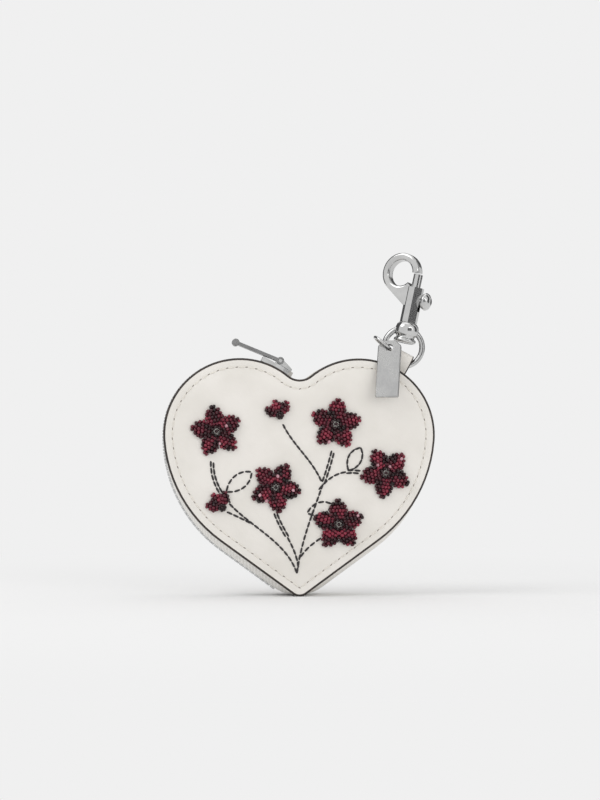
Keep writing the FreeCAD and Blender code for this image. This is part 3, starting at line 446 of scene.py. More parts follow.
@dataclass(frozen=True)
class PressedGlass(Finish):
    """Pressed glass seed beads, from black to garnet: hard small highlights on deep colour."""

    gloss: Gloss = Gloss(0.12, 0.24)
    # the palest stop, at one, colours the few beads that are painted glints
    tones: tuple[tuple[float, str], ...] = (
        (0.0, "#1C1314"), (0.3, "#34161C"), (0.55, "#5E1B2B"), (0.8, "#842A3C"), (0.92, "#8E3044"), (1.0, "#C99AA4"))
    speck_mm: float = 0.6
    clouding: float = 0.3

    def paint(self, tree: bpy.types.NodeTree) -> None:
        """Each bead's own tone, clouded inside, under a hard gloss.

        Args:
            tree: Node tree of the material.
        """
        tone = add_node(tree, "ShaderNodeAttribute", {"attribute_name": "tone"}).outputs["Fac"]
        row = add_node(tree, "ShaderNodeTexCoord").outputs["Object"]
        speck = add_node(tree, "ShaderNodeTexNoise", {"Scale": per_size(self.speck_mm), "Detail": 2.0},
                         {"Vector": row}).outputs["Fac"]
        cloud = add_node(tree, "ShaderNodeMath", {"operation": "MULTIPLY_ADD", 1: self.clouding},
                         {0: speck, 2: tone})
        depth = add_node(tree, "ShaderNodeMath", {"operation": "SUBTRACT", 1: self.clouding / 2},
                         {0: cloud.outputs["Value"]})
        self.coat(tree, depth.outputs["Value"], self.tones, {"IOR": 1.52, "Specular IOR Level": 0.4}, shine=speck)


@dataclass(frozen=True)
class PlainBoard(Finish):
    """Grey-brown pulp board, rolled: matt, with short fibres."""

    relief: Relief = Relief(0.3, 0.1)
    light: str = "#B4A68F"
    shade: str = "#8F8069"
    fibre_mm: float = 1.2

    def paint(self, tree: bpy.types.NodeTree) -> None:
        """Mottled fibres with a matt relief.

        Args:
            tree: Node tree of the material.
        """
        row = add_node(tree, "ShaderNodeTexCoord").outputs["Object"]
        fibre = add_node(tree, "ShaderNodeTexNoise", {"Scale": per_size(self.fibre_mm), "Detail": 5.0},
                         {"Vector": row}).outputs["Fac"]
        self.coat(tree, fibre, [(0.3, self.shade), (0.7, self.light)], {"Roughness": 0.9}, fibre)


@dataclass(frozen=True)
class FloorPaper(Finish):
    """Seamless background paper: matt and even, fading into the plain backdrop.

    Attributes:
        near: Distance in metres where the paper starts to fade.
        far: Distance in metres where only the backdrop is left.
    """

    relief: Relief = Relief(0.03, 0.1)
    colour: str = "#F0F0F0"
    tooth_mm: float = 3.0
    near: float = 0.1
    far: float = 0.3

    def paint(self, tree: bpy.types.NodeTree) -> None:
        """Matt paper near the purse, plain backdrop further away.

        Args:
            tree: Node tree of the material.
        """
        row = add_node(tree, "ShaderNodeTexCoord").outputs["Object"]
        tooth = add_node(tree, "ShaderNodeTexNoise", {"Scale": per_size(self.tooth_mm)}, {"Vector": row})
        bump = add_node(tree, "ShaderNodeBump",
                        {"Strength": self.relief.strength, "Distance": self.relief.depth * MM},
                        {"Height": tooth.outputs["Fac"]})
        paper = add_node(tree, "ShaderNodeBsdfPrincipled",
                         {"Base Color": linear(self.colour), "Roughness": 0.95, "Specular IOR Level": 0.0},
                         {"Normal": bump.outputs["Normal"]})
        plain = add_node(tree, "ShaderNodeEmission", {"Color": linear(self.colour), "Strength": 1.0})
        away = add_node(tree, "ShaderNodeVectorMath", {"operation": "LENGTH"}, {0: row})
        fade = add_node(tree, "ShaderNodeMapRange", {"From Min": self.near, "From Max": self.far,
                                                     "interpolation_type": "SMOOTHSTEP"},
                        {"Value": away.outputs["Value"]})
        seen = add_node(tree, "ShaderNodeMath", {"operation": "MULTIPLY"},
                        {0: fade.outputs["Result"], 1: looking_ray(tree)})
        mixed = add_node(tree, "ShaderNodeMixShader", links={
            0: seen.outputs["Value"], 1: paper.outputs["BSDF"], 2: plain.outputs["Emission"]})
        add_node(tree, "ShaderNodeOutputMaterial", links={"Surface": mixed.outputs["Shader"]})


@dataclass(frozen=True)
class GreyFelt(Finish):
    """Dark grey felt on a frame: a dark matt field for metal to mirror."""

    dark: str = "#5A5A5B"
    light: str = "#666667"
    nap_mm: float = 8.0

    def paint(self, tree: bpy.types.NodeTree) -> None:
        """Dark felt with a faint nap.

        Args:
            tree: Node tree of the material.
        """
        row = add_node(tree, "ShaderNodeTexCoord").outputs["Object"]
        nap = add_node(tree, "ShaderNodeTexNoise", {"Scale": per_size(self.nap_mm)}, {"Vector": row})
        self.coat(tree, nap.outputs["Fac"], [(0.3, self.dark), (0.7, self.light)],
                  {"Roughness": 1.0, "Specular IOR Level": 0.0})


LEATHER = SmoothLeather("calf_leather_chalk")
PAINTED_EDGE = EdgePaintAndHoleShade("acrylic_edge_paint_dark")
LINING = WovenCloth("polyester_lining_plain_weave", warp="#DDD8CF", weft="#CBC5BA")
TAPE = WovenCloth("polyester_zip_tape", warp="#F0EEEA", weft="#DEDBD5", thread_mm=0.7, space=PatternSpace.STRIP)
NICKEL = Plating("bright_nickel_plate")
# the tag's brushed streaks are real; its base colour, darker than the bright plate, is painted shade
SATIN_NICKEL_SHADED = Plating("brushed_nickel_plate", Gloss(0.24, 0.36, *HAZE), bright="#BABAB9", dull="#A9A9A9",
                       streak_mm=0.35)
# the pull's copy of the nickel, darker than the bright plate: painted shade for the dark it mirrors
SHADED_NICKEL = Plating("tumbled_nickel_plate", Gloss(0.2, 0.3, *HAZE), bright="#A4A4A4", dull="#8C8C8C")
SPRING_STEEL = Plating("drawn_spring_steel", Gloss(0.22, 0.4, *HAZE), bright="#9A9A9C", dull="#7E7E82", haze_mm=1.5)
PALE_THREAD = SewingThread("polyester_thread_chalk")
BLACK_THREAD = SewingThread("polyester_thread_black", light="#2C2729", shade="#131012")
# dark marks on the leather at the seam's holes: painted shade where the thread goes in
HOLE_SHADE = EdgePaintAndHoleShade("pierced_leather_hole", dark="#7E756C", worn="#989086", brush_mm=0.6)
BEADS = PressedGlass("pressed_glass_beads_garnet")
SATIN_GROUND = SewingThread("satin_stitch_ground_garnet", light="#4A1522", shade="#220D13", strand_mm=0.6)
BOARD = PlainBoard("pulp_board")
PAPER = FloorPaper("seamless_paper")
FELT = GreyFelt("grey_felt")


def to_mesh(name: str, bm: bmesh.types.BMesh) -> bpy.types.Mesh:
    """Turn a bmesh into a mesh and free it.

    Args:
        name: Name of the mesh.
        bm: Mesh under work.

    Returns:
        The new mesh.
    """
    mesh = bpy.data.meshes.new(name)
    bm.to_mesh(mesh)
    bm.free()
    return mesh


def new_piece(name: str, bm: bmesh.types.BMesh, finishes: Sequence[Finish],
              sharp: float = 42.0) -> bpy.types.Object:
    """Turn a bmesh into an object in the scene and free it.

    Args:
        name: Name of the piece.
        bm: Mesh in the row frame, in metres.
        finishes: Finishes in the order of the faces' material numbers.
        sharp: Angle in degrees past which an edge stays sharp.

    Returns:
        The new object, at the origin.
    """
    bm.normal_update()
    mesh = to_mesh(name, bm)
    for finish in finishes:
        mesh.materials.append(finish.material())
    mesh.polygons.foreach_set("use_smooth", [True] * len(mesh.polygons))
    mesh.set_sharp_from_angle(angle=math.radians(sharp))
    piece = bpy.data.objects.new(name, mesh)
    bpy.context.scene.collection.objects.link(piece)
    return piece


def settle_modifiers(piece: bpy.types.Object) -> None:
    """Apply a piece's modifiers to its mesh.

    Args:
        piece: Piece that has modifiers.
    """
    graph = bpy.context.evaluated_depsgraph_get()
    settled = bpy.data.meshes.new_from_object(piece.evaluated_get(graph), preserve_all_data_layers=True,
                                              depsgraph=graph)
    piece.modifiers.clear()
    piece.data = settled


def report(piece: bpy.types.Object) -> None:
    """Log a finished piece."""
    LOG.info("%s: %d faces", piece.name, len(piece.data.polygons))


def pick(made: Iterable[Any], kind: type) -> list[Any]:
    """Vertices, edges or faces among what a mesh operator made."""
    return [item for item in made if isinstance(item, kind)]


def evenly(points: Sequence[Vector], pitch: float) -> list[tuple[Vector, Vector]]:
    """Walk along a line of points in steps of about the same length.

    Args:
        points: Points of the line.
        pitch: Wanted length of a step.

    Returns:
        Middle of each step with the direction there.
    """
    lengths = [(b - a).length for a, b in zip(points, points[1:])]
    count = max(1, round(sum(lengths) / pitch))
    step = sum(lengths) / count
    places = []
    passed, index = 0.0, 0
    for number in range(count):
        wanted = (number + 0.5) * step
        while index < len(lengths) - 1 and passed + lengths[index] < wanted:
            passed += lengths[index]
            index += 1
        way = points[index + 1] - points[index]
        places.append((points[index] + way * ((wanted - passed) / lengths[index]), way.normalized()))
    return places


def upright(place: Vector, along: Vector, up: Vector) -> Matrix:
    """Frame with X along a direction and Z up.

    Args:
        place: Origin in millimetres.
        along: Direction of X.
        up: Direction of Z, square to X.

    Returns:
        The frame as a matrix in metres.
    """
    frame = Matrix((along, up.cross(along), up)).transposed().to_4x4()
    frame.translation = place * MM
    return frame


def stamp(bm: bmesh.types.BMesh, template: bpy.types.Mesh, place: Matrix, tone: float | None = None) -> None:
    """Add one copy of a small mesh to a larger one.

    Args:
        bm: Mesh that gets the copy.
        template: Mesh to copy.
        place: Where the copy goes.
        tone: Value for the copy's tone attribute, if it has one.
    """
    copy = template.copy()
    copy.transform(place)
    if tone is not None:
        copy.attributes["tone"].data.foreach_set("value", [tone] * len(copy.vertices))
    bm.from_mesh(copy)
    bpy.data.meshes.remove(copy)


@dataclass(frozen=True)
class HeartCurve:
    """Heart outline of tangent arcs, alike on both sides of the middle line.

    Attributes:
        lobe_radius: Radius of the two round lobes.
        side_radius: Radius of the bowed sides.
        side_inset: Distance of the straight runs inside the edge of the panel.
        tip_radius: Radius of the rounded tip.
    """

    lobe_radius: float = 26.7
    side_radius: float = 48.0
    side_inset: float = 0.0
    tip_radius: float = 4.0

    LOBE = Vector((-20.8, 0.0, 56.3))
    EDGE_LOBE = 26.7
    EDGE_NOTCH = 6.1
    EDGE_TIP = 4.0
    SLOPE = math.radians(36.0)
    DOWN = 1.5 * math.pi
    # steps of the notch, the lobe, the bowed side, the straight run and the tip
    STEPS = (5, 36, 12, 12, 5)

    def inset(self, distance: float, tip_radius: float | None = None) -> HeartCurve:
        """Outline a constant distance inside this one.

        Args:
            distance: Distance inwards.
            tip_radius: Radius of the tip where it isn't the offset one.

        Returns:
            The smaller outline.
        """
        tip = self.tip_radius - distance if tip_radius is None else tip_radius
        return HeartCurve(self.lobe_radius - distance, self.side_radius - distance, self.side_inset + distance, tip)

    def mixed(self, other: HeartCurve, share: float) -> HeartCurve:
        """Outline part of the way to another.

        Args:
            other: Outline at a share of one.
            share: Part of the way, from 0 to 1.

        Returns:
            The outline in between.
        """
        pairs = [(getattr(self, entry.name), getattr(other, entry.name)) for entry in fields(self)]
        return HeartCurve(*[mine * (1 - share) + yours * share for mine, yours in pairs])

    def trace(self, bm: bmesh.types.BMesh, level: float, cut: float = 0.0) -> list[bmesh.types.BMVert]:
        """Draw the left half, from the notch round the lobe to the tip, by spinning a point.

        Args:
            bm: Mesh that gets the vertices and edges.
            level: Height along Y.
            cut: Distance of both ends to the left of the middle line.

        Returns:
            The vertices in order.
        """
        lobe = self.LOBE
        reach = self.EDGE_LOBE + self.EDGE_NOTCH
        notch = Vector((0.0, 0.0, lobe.z + math.sqrt(reach ** 2 - lobe.x ** 2)))
        notch_radius = reach - self.lobe_radius
        spare = self.tip_radius + self.side_inset - self.EDGE_TIP
        tip = Vector((0.0, 0.0, self.EDGE_TIP + spare / math.cos(self.SLOPE)))
        outward = Vector((-math.sin(self.SLOPE), 0.0, -math.cos(self.SLOPE)))
        along = Vector((math.cos(self.SLOPE), 0.0, -math.sin(self.SLOPE)))
        across = outward.dot(tip) + self.tip_radius - self.side_radius - outward.dot(lobe)
        forward = math.sqrt((self.side_radius - self.lobe_radius) ** 2 - across ** 2)
        side = lobe + outward * across + along * forward
        notch_angle = math.atan2(notch.z - lobe.z, -lobe.x)
        side_angle = math.atan2(lobe.z - side.z, lobe.x - side.x) % math.tau
        line_angle = self.DOWN - self.SLOPE
        first = self.DOWN - math.asin(cut / notch_radius)
        last = self.DOWN - math.asin(cut / self.tip_radius)
        run = (tip + outward * self.tip_radius) - (side + outward * self.side_radius)
        start = notch + Vector((math.cos(first), 0.0, math.sin(first))) * notch_radius
        start.y = level
        chain = [bm.verts.new(start * MM)]
        turns = [(notch, notch_angle + math.pi - first), (lobe, side_angle - notch_angle),
                 (side, line_angle - side_angle), (None, 0.0), (tip, last - line_angle)]
        for (centre, angle), steps in zip(turns, self.STEPS):
            known = len(bm.verts)
            step = run * MM / steps if centre is None else Vector()
            bmesh.ops.spin(bm, geom=[chain[-1]], cent=(centre or tip) * MM, axis=(0, -1, 0), dvec=step,
                           angle=angle, steps=steps)
            bm.verts.ensure_lookup_table()
            chain += bm.verts[known:]
        return chain

    def loop(self, pitch: float) -> list[tuple[Vector, Vector]]:
        """Evenly spaced places round the whole outline.

        Args:
            pitch: Wanted distance between places.

        Returns:
            Places with their directions, in the plane Y = 0.
        """
        bm = bmesh.new()
        half = [vert.co / MM for vert in self.trace(bm, 0.0)]
        bm.free()
        flip = Vector((-1.0, 1.0, 1.0))
        return evenly(half + [point * flip for point in reversed(half[1:-1])] + half[:1], pitch)


EDGE = HeartCurve()


@dataclass(frozen=True)
class StitchShape:
    """One thread stitch, arched over the leather with both ends sunk in it.

    Attributes:
        length: Length between the two holes.
        radius: Radius of the thread.
        arch: Height of the thread's middle over its ends.
        proud: Height of the thread's axis over the leather, at the middle.
    """

    length: float
    radius: float
    arch: float
    proud: float
    sides: int = 6
    steps: int = 5

    def template(self, name: str) -> bpy.types.Mesh:
        """Build the stitch along X, standing up along Z.

        Args:
            name: Name of the mesh.

        Returns:
            A mesh that holds the length along the stitch as an attribute.
        """
        bend = (self.length ** 2 / 8 + self.arch ** 2 / 2) / self.arch
        half = math.asin(self.length / 2 / bend)
        centre = Vector((0.0, 0.0, -bend * MM))
        bm = bmesh.new()
        bmesh.ops.create_circle(bm, segments=self.sides, radius=self.radius * MM,
                                matrix=Matrix.Rotation(math.pi / 2, 4, "Y"))
        bmesh.ops.rotate(bm, verts=bm.verts, cent=centre, matrix=Matrix.Rotation(-half, 3, "Y"))
        bmesh.ops.spin(bm, geom=bm.verts[:] + bm.edges[:], cent=centre, axis=(0, 1, 0), angle=2 * half,
                       steps=self.steps)
        bmesh.ops.holes_fill(bm, edges=[edge for edge in bm.edges if edge.is_boundary])
        bmesh.ops.recalc_face_normals(bm, faces=bm.faces)
        bmesh.ops.translate(bm, verts=bm.verts, vec=(0.0, 0.0, self.proud * MM))
        layer = bm.verts.layers.float.new("along")
        for vert in bm.verts:
            vert[layer] = vert.co.x
        return to_mesh(name, bm)


@dataclass
class LeatherPanel:
    """One heart shaped leather face with its painted edge, seam and lining.

    Attributes:
        side: Face of the purse.
        leather: Thickness at the edge.
        crown: How far the middle stands proud of the edge.
        crown_reach: Distance from the edge where the leather is as high as it gets.
        seam_inset: Distance of the seam from the edge.
        seam_dip: Depth to which the seam pulls the leather down.
        paint_width: Width of the edge paint on the face.
        rings: Distances from the edge of the lines that the face is divided by.
        grid: Distance between the cuts that divide the middle.
        crease: How far the lining stands away from the board in places.
    """

    side: Side
    leather: float = 1.4
    crown: float = 1.1
    crown_reach: float = 26.0
    seam_inset: float = 3.2
    seam_dip: float = 0.2
    seam_half_width: float = 0.55
    seam_stitch: StitchShape = StitchShape(length=2.75, radius=0.24, arch=0.34, proud=0.1)
    stitch_pitch: float = 3.4
    hole_size: tuple[float, float, float, float] = (0.62, 0.22, 0.06, 1.0)
    hole_slant: float = 14.0
    hole_lift: float = 0.01
    edge_round: float = 0.45
    round_steps: int = 3
    paint_width: float = 0.75
    rings: tuple[float, ...] = (0.75, 1.6, 2.4, 2.8, 3.2, 3.6)
    grid: float = 4.0
    grid_shift: float = 0.13
    grid_across: tuple[int, int] = (-12, 13)
    grid_up: tuple[int, int] = (0, 22)
    edge_pitch: float = 0.4
    lining_inset: float = 2.3
    crease: float = 0.22
    crease_inset: float = 9.0
    crease_seed: int = 11
    tree: kdtree.KDTree = field(init=False)
    inner: float = field(init=False)
    outer: float = field(init=False)

    def __post_init__(self) -> None:
        """Read the CAD face levels and the outline for distances."""
        low, high = (corner.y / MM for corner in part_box(f"{self.word}_panel"))
        self.inner = high if self.side is Side.FRONT else low
        self.outer = self.inner + self.side.value * self.leather
        places = EDGE.loop(self.edge_pitch)
        self.tree = kdtree.KDTree(len(places))
        for index, (place, _) in enumerate(places):
            self.tree.insert(place, index)
        self.tree.balance()

    @property
    def word(self) -> str:
        """Name of the side in the CAD nodes."""
        return self.side.name.lower()

    @property
    def body(self) -> str:
        """CAD body that the face belongs to."""
        return f"purse_{self.word}"

    @property
    def up(self) -> Vector:
        """Direction out of the leather."""
        return Vector((0.0, float(self.side.value), 0.0))

    def from_edge(self, x: float, z: float) -> float:
        """Distance of a place on the face from the panel's edge."""
        return self.tree.find(Vector((x, 0.0, z)))[2]

    def height(self, x: float, z: float) -> float:
        """Height of the leather over its edge.

        Args:
            x: Place across.
            z: Place upwards.

        Returns:
            Height from the crown and the seam's dip.
        """
        distance = self.from_edge(x, z)
        short = 1.0 - min(distance / self.crown_reach, 1.0)
        dip = math.exp(-((distance - self.seam_inset) / self.seam_half_width) ** 2)
        return self.crown * (1.0 - short ** 2) - self.seam_dip * dip

    def on_face(self, x: float, z: float, lift: float = 0.0) -> Vector:
        """Place on the leather.

        Args:
            x: Place across.
            z: Place upwards.
            lift: Height over the leather.

        Returns:
            Point in the row frame.
        """
        return Vector((x, self.outer, z)) + self.up * (self.height(x, z) + lift)

    def slab(self, curve: HeartCurve, base: float,
             top: float) -> tuple[bmesh.types.BMesh, bmesh.types.BMLayerItem, bmesh.types.BMFace]:
        """Fill an outline and raise it.

        Args:
            curve: Outline.
            base: Height of the outline along Y.
            top: Height of the raised face along Y.

        Returns:
            The slab, a face layer for dividing it, and its raised face.
        """
        bm = bmesh.new()
        layer = bm.faces.layers.int.new("inner")
        curve.trace(bm, base)
        bmesh.ops.mirror(bm, geom=bm.verts[:] + bm.edges[:], merge_dist=SAME_POINT, axis="X")
        bmesh.ops.contextual_create(bm, geom=bm.edges[:])
        raised = bmesh.ops.extrude_face_region(bm, geom=bm.faces[:], use_keep_orig=True)["geom"]
        bmesh.ops.translate(bm, verts=pick(raised, bmesh.types.BMVert), vec=(0.0, (top - base) * MM, 0.0))
        return bm, layer, pick(raised, bmesh.types.BMFace)[0]

    def divide(self, bm: bmesh.types.BMesh, layer: bmesh.types.BMLayerItem, top: bmesh.types.BMFace) -> None:
        """Cut a face by a square grid, so that it can be shaped.

        Args:
            bm: Mesh of the face.
            layer: Face layer that is 1 on the pieces of the face.
            top: Face to cut.
        """
        top[layer] = 1
        for axis, span in ((Vector((1, 0, 0)), self.grid_across), (Vector((0, 0, 1)), self.grid_up)):
            for number in range(*span):
                faces = [face for face in bm.faces if face[layer] == 1]
                edges = {edge for face in faces for edge in face.edges}
                verts = {vert for face in faces for vert in face.verts}
                bmesh.ops.bisect_plane(bm, geom=[*verts, *edges, *faces], dist=SAME_LEVEL,
                                       plane_co=axis * (number * self.grid + self.grid_shift) * MM, plane_no=axis)

    def build_leather(self) -> None:
        """Make the crowned leather face."""
        bm, layer, top = self.slab(EDGE, self.inner, self.outer)
        bmesh.ops.recalc_face_normals(bm, faces=bm.faces)
        bmesh.ops.bevel(bm, geom=list(top.edges), offset=self.edge_round * MM, offset_type="OFFSET",
                        affect="EDGES", segments=self.round_steps, profile=0.5, material=-1, clamp_overlap=True)
        level = self.outer * MM
        flat = [face for face in bm.faces if abs(face.calc_center_median().y - level) < SAME_POINT]
        top = max(flat, key=lambda face: face.calc_area())
        reached = self.edge_round
        for place in self.rings:
            bmesh.ops.inset_region(bm, faces=[top], thickness=(place - reached) * MM, use_even_offset=True,
                                   use_boundary=True)
            reached = place
        self.divide(bm, layer, top)
        for vert in bm.verts:
            if abs(vert.co.y - level) < SAME_LEVEL:
                vert.co.y += self.side.value * self.height(vert.co.x / MM, vert.co.z / MM) * MM
        for face in bm.faces:
            middle = face.calc_center_median() / MM
            face.material_index = 1 if self.from_edge(middle.x, middle.z) < self.paint_width else 0
        piece = new_piece(f"{self.word}_leather", bm, [LEATHER, PAINTED_EDGE], sharp=60.0)
        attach(piece, self.body)
        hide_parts(f"{self.word}_panel")
        report(piece)

    def build_lining(self) -> None:
        """Make the cloth glued inside the face."""
        low, high = (corner.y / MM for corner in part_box(f"{self.word}_lining"))
        far, near = (low, high) if self.side is Side.FRONT else (high, low)
        bm, layer, top = self.slab(EDGE.inset(self.lining_inset), far, near)
        self.divide(bm, layer, top)
        bmesh.ops.recalc_face_normals(bm, faces=bm.faces)
        draw = random.Random(self.crease_seed + self.side.value)
        for vert in bm.verts:
            inside = self.from_edge(vert.co.x / MM, vert.co.z / MM) > self.crease_inset
            if inside and abs(vert.co.y - near * MM) < SAME_LEVEL:
                vert.co.y -= self.side.value * draw.uniform(0.0, self.crease) * MM
        piece = new_piece(f"{self.word}_lining_cloth", bm, [LINING])
        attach(piece, self.body)
        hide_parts(f"{self.word}_lining")
        report(piece)

    def build_seam(self) -> None:
        """Sew the seam: a thread piece, and flat dark marks of painted shade at the holes it goes through."""
        places = EDGE.inset(self.seam_inset).loop(self.stitch_pitch)
        stitch = self.seam_stitch.template("seam_stitch")
        slant = Matrix.Rotation(math.radians(self.hole_slant), 4, "Z")
        thread, holes = bmesh.new(), bmesh.new()
        for place, along in places:
            stamp(thread, stitch, upright(self.on_face(place.x, place.z), along, self.up))
            hole = place + along * self.stitch_pitch / 2
            frame = upright(self.on_face(hole.x, hole.z, self.hole_lift), along, self.up) @ slant
            # a flat dark mark at each hole is painted shade
            bmesh.ops.create_uvsphere(holes, u_segments=8, v_segments=4, radius=MM,
                                      matrix=frame @ Matrix.Diagonal(self.hole_size))
        bpy.data.meshes.remove(stitch)
        for piece in (new_piece(f"{self.word}_seam_thread", thread, [PALE_THREAD]),
                      new_piece(f"{self.word}_seam_holes", holes, [HOLE_SHADE])):
            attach(piece, self.body)
            report(piece)

    def build(self) -> None:
        """Make the leather, the lining and the seam."""
        self.build_leather()
        self.build_lining()
        self.build_seam()


@dataclass
class SideStrip:
    """Strip of leather or tape that joins the faces round one half of the heart.

    Attributes:
        name: Name of the piece.
        node: CAD node that it stands for.
        hand: Half of the heart.
        levels: Distances from the mid plane, from one edge of the wall to the other.
        mid_plane: Height of the mid plane along Y.
        wall: Thickness of the strip.
        straight: Distance from the mid plane inside which the wall is straight.
        cut: Distance of both ends from the middle line.
        sewn: Distance from the mid plane where the wall turns in behind a face.
    """

    name: str
    node: str
    hand: Hand
    levels: tuple[float, ...]
    mid_plane: float
    finish: Finish
    slot: str
    wall: float = 0.6
    straight: float = 0.0
    cut: float = 0.5
    half_depth: float = 7.7
    sewn: float = 7.4
    flange_inset: float = 7.0
    web_inset: float = 1.3
    chain_inset: float = 0.9
    chain_bulge: float = 1.6
    tip_rise: float = 0.4
    outset: float = 0.15

    def curve(self, level: float) -> HeartCurve:
        """Outline of the wall at a distance from the mid plane.

        Args:
            level: Distance along Y.

        Returns:
            Outline between that at the panel and that at the mid plane.
        """
        bulge_tip = EDGE.tip_radius + (self.chain_bulge + self.tip_rise) / (1 - math.cos(EDGE.SLOPE))
        middle = HeartCurve(EDGE.lobe_radius - self.chain_inset + self.outset, EDGE.side_radius + self.outset,
                            -self.chain_bulge - self.outset, bulge_tip + self.outset)
        share = min(1.0, max(0.0, (self.half_depth - abs(level)) / (self.half_depth - self.straight)))
        return EDGE.inset(self.web_inset).mixed(middle, math.sin(share * math.pi / 2))

    def sections(self) -> list[tuple[float, HeartCurve]]:
        """Outlines of the wall, with the flanges sewn behind the faces.

        Returns:
            Distances from the mid plane with their outlines, from one edge to the other.
        """
        flange = EDGE.inset(self.flange_inset, EDGE.tip_radius)
        wall = [(level, self.curve(level)) for level in self.levels]
        first, last = ([(level, flange)] if math.isclose(abs(level), self.sewn) else []
                       for level in (self.levels[0], self.levels[-1]))
        return [*first, *wall, *last]

    def build(self) -> bpy.types.Object:
        """Bridge the outlines of the strip.

        Returns:
            The strip, at rest in the row frame, on no body yet.
        """
        bm = bmesh.new()
        along = bm.verts.layers.float.new("along")
        across = bm.verts.layers.float.new("across")
        chains = []
        width = 0.0
        for level, curve in self.sections():
            chain = curve.trace(bm, self.mid_plane + level, self.cut)
            if chains:
                middle = len(chain) // 2
                width += (chain[middle].co - chains[-1][middle].co).length
            length = 0.0
            for number, vert in enumerate(chain):
                length += (vert.co - chain[number - 1].co).length if number else 0.0
                vert[along], vert[across] = length, width
            chains.append(chain)
        for one, two in zip(chains, chains[1:]):
            edges = [bm.edges.get(pair) for chain in (one, two) for pair in zip(chain, chain[1:])]
            bmesh.ops.bridge_loops(bm, edges=edges)
        if self.hand is Hand.RIGHT:
            bmesh.ops.scale(bm, verts=bm.verts, vec=(-1.0, 1.0, 1.0))
        bmesh.ops.recalc_face_normals(bm, faces=bm.faces)
        piece = new_piece(self.name, bm, [self.finish], sharp=50.0)
        thick = piece.modifiers.new("wall", "SOLIDIFY")
        thick.thickness, thick.offset, thick.use_even_offset = self.wall * MM, 0.0, True
        settle_modifiers(piece)
        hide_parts(self.node)
        report(piece)
        return piece


@dataclass
class PurseSides:
    """Leather gusset on the right and the two zip tapes on the left."""

    mid_plane: float
    gusset_levels: tuple[float, ...] = (
        -7.4, -6.4, -5.0, -3.4, -1.8, -1.2, -0.6, 0.0, 0.6, 1.2, 1.8, 3.4, 5.0, 6.4, 7.4)
    tape_levels: tuple[float, ...] = (-7.4, -6.6, -5.6, -4.4, -3.4, -2.6, -1.3)
    fold: float = 1.8

    def build(self) -> None:
        """Make the strips; each tape goes with its face, and the gusset with neither."""
        gusset = SideStrip("gusset_leather", "side_gusset", Hand.RIGHT, self.gusset_levels, self.mid_plane,
                           LEATHER, "chalk_leather", cut=-0.42).build()
        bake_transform(gusset)
        front = SideStrip("front_tape_cloth", "zip_tape_front", Hand.LEFT, self.tape_levels, self.mid_plane,
                          TAPE, "zip_tape", straight=2.9)
        back = replace(front, name="back_tape_cloth", node="zip_tape_back",
                       levels=tuple(-level for level in self.tape_levels))
        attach(front.build(), "purse_front")
        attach(back.build(), "purse_back")


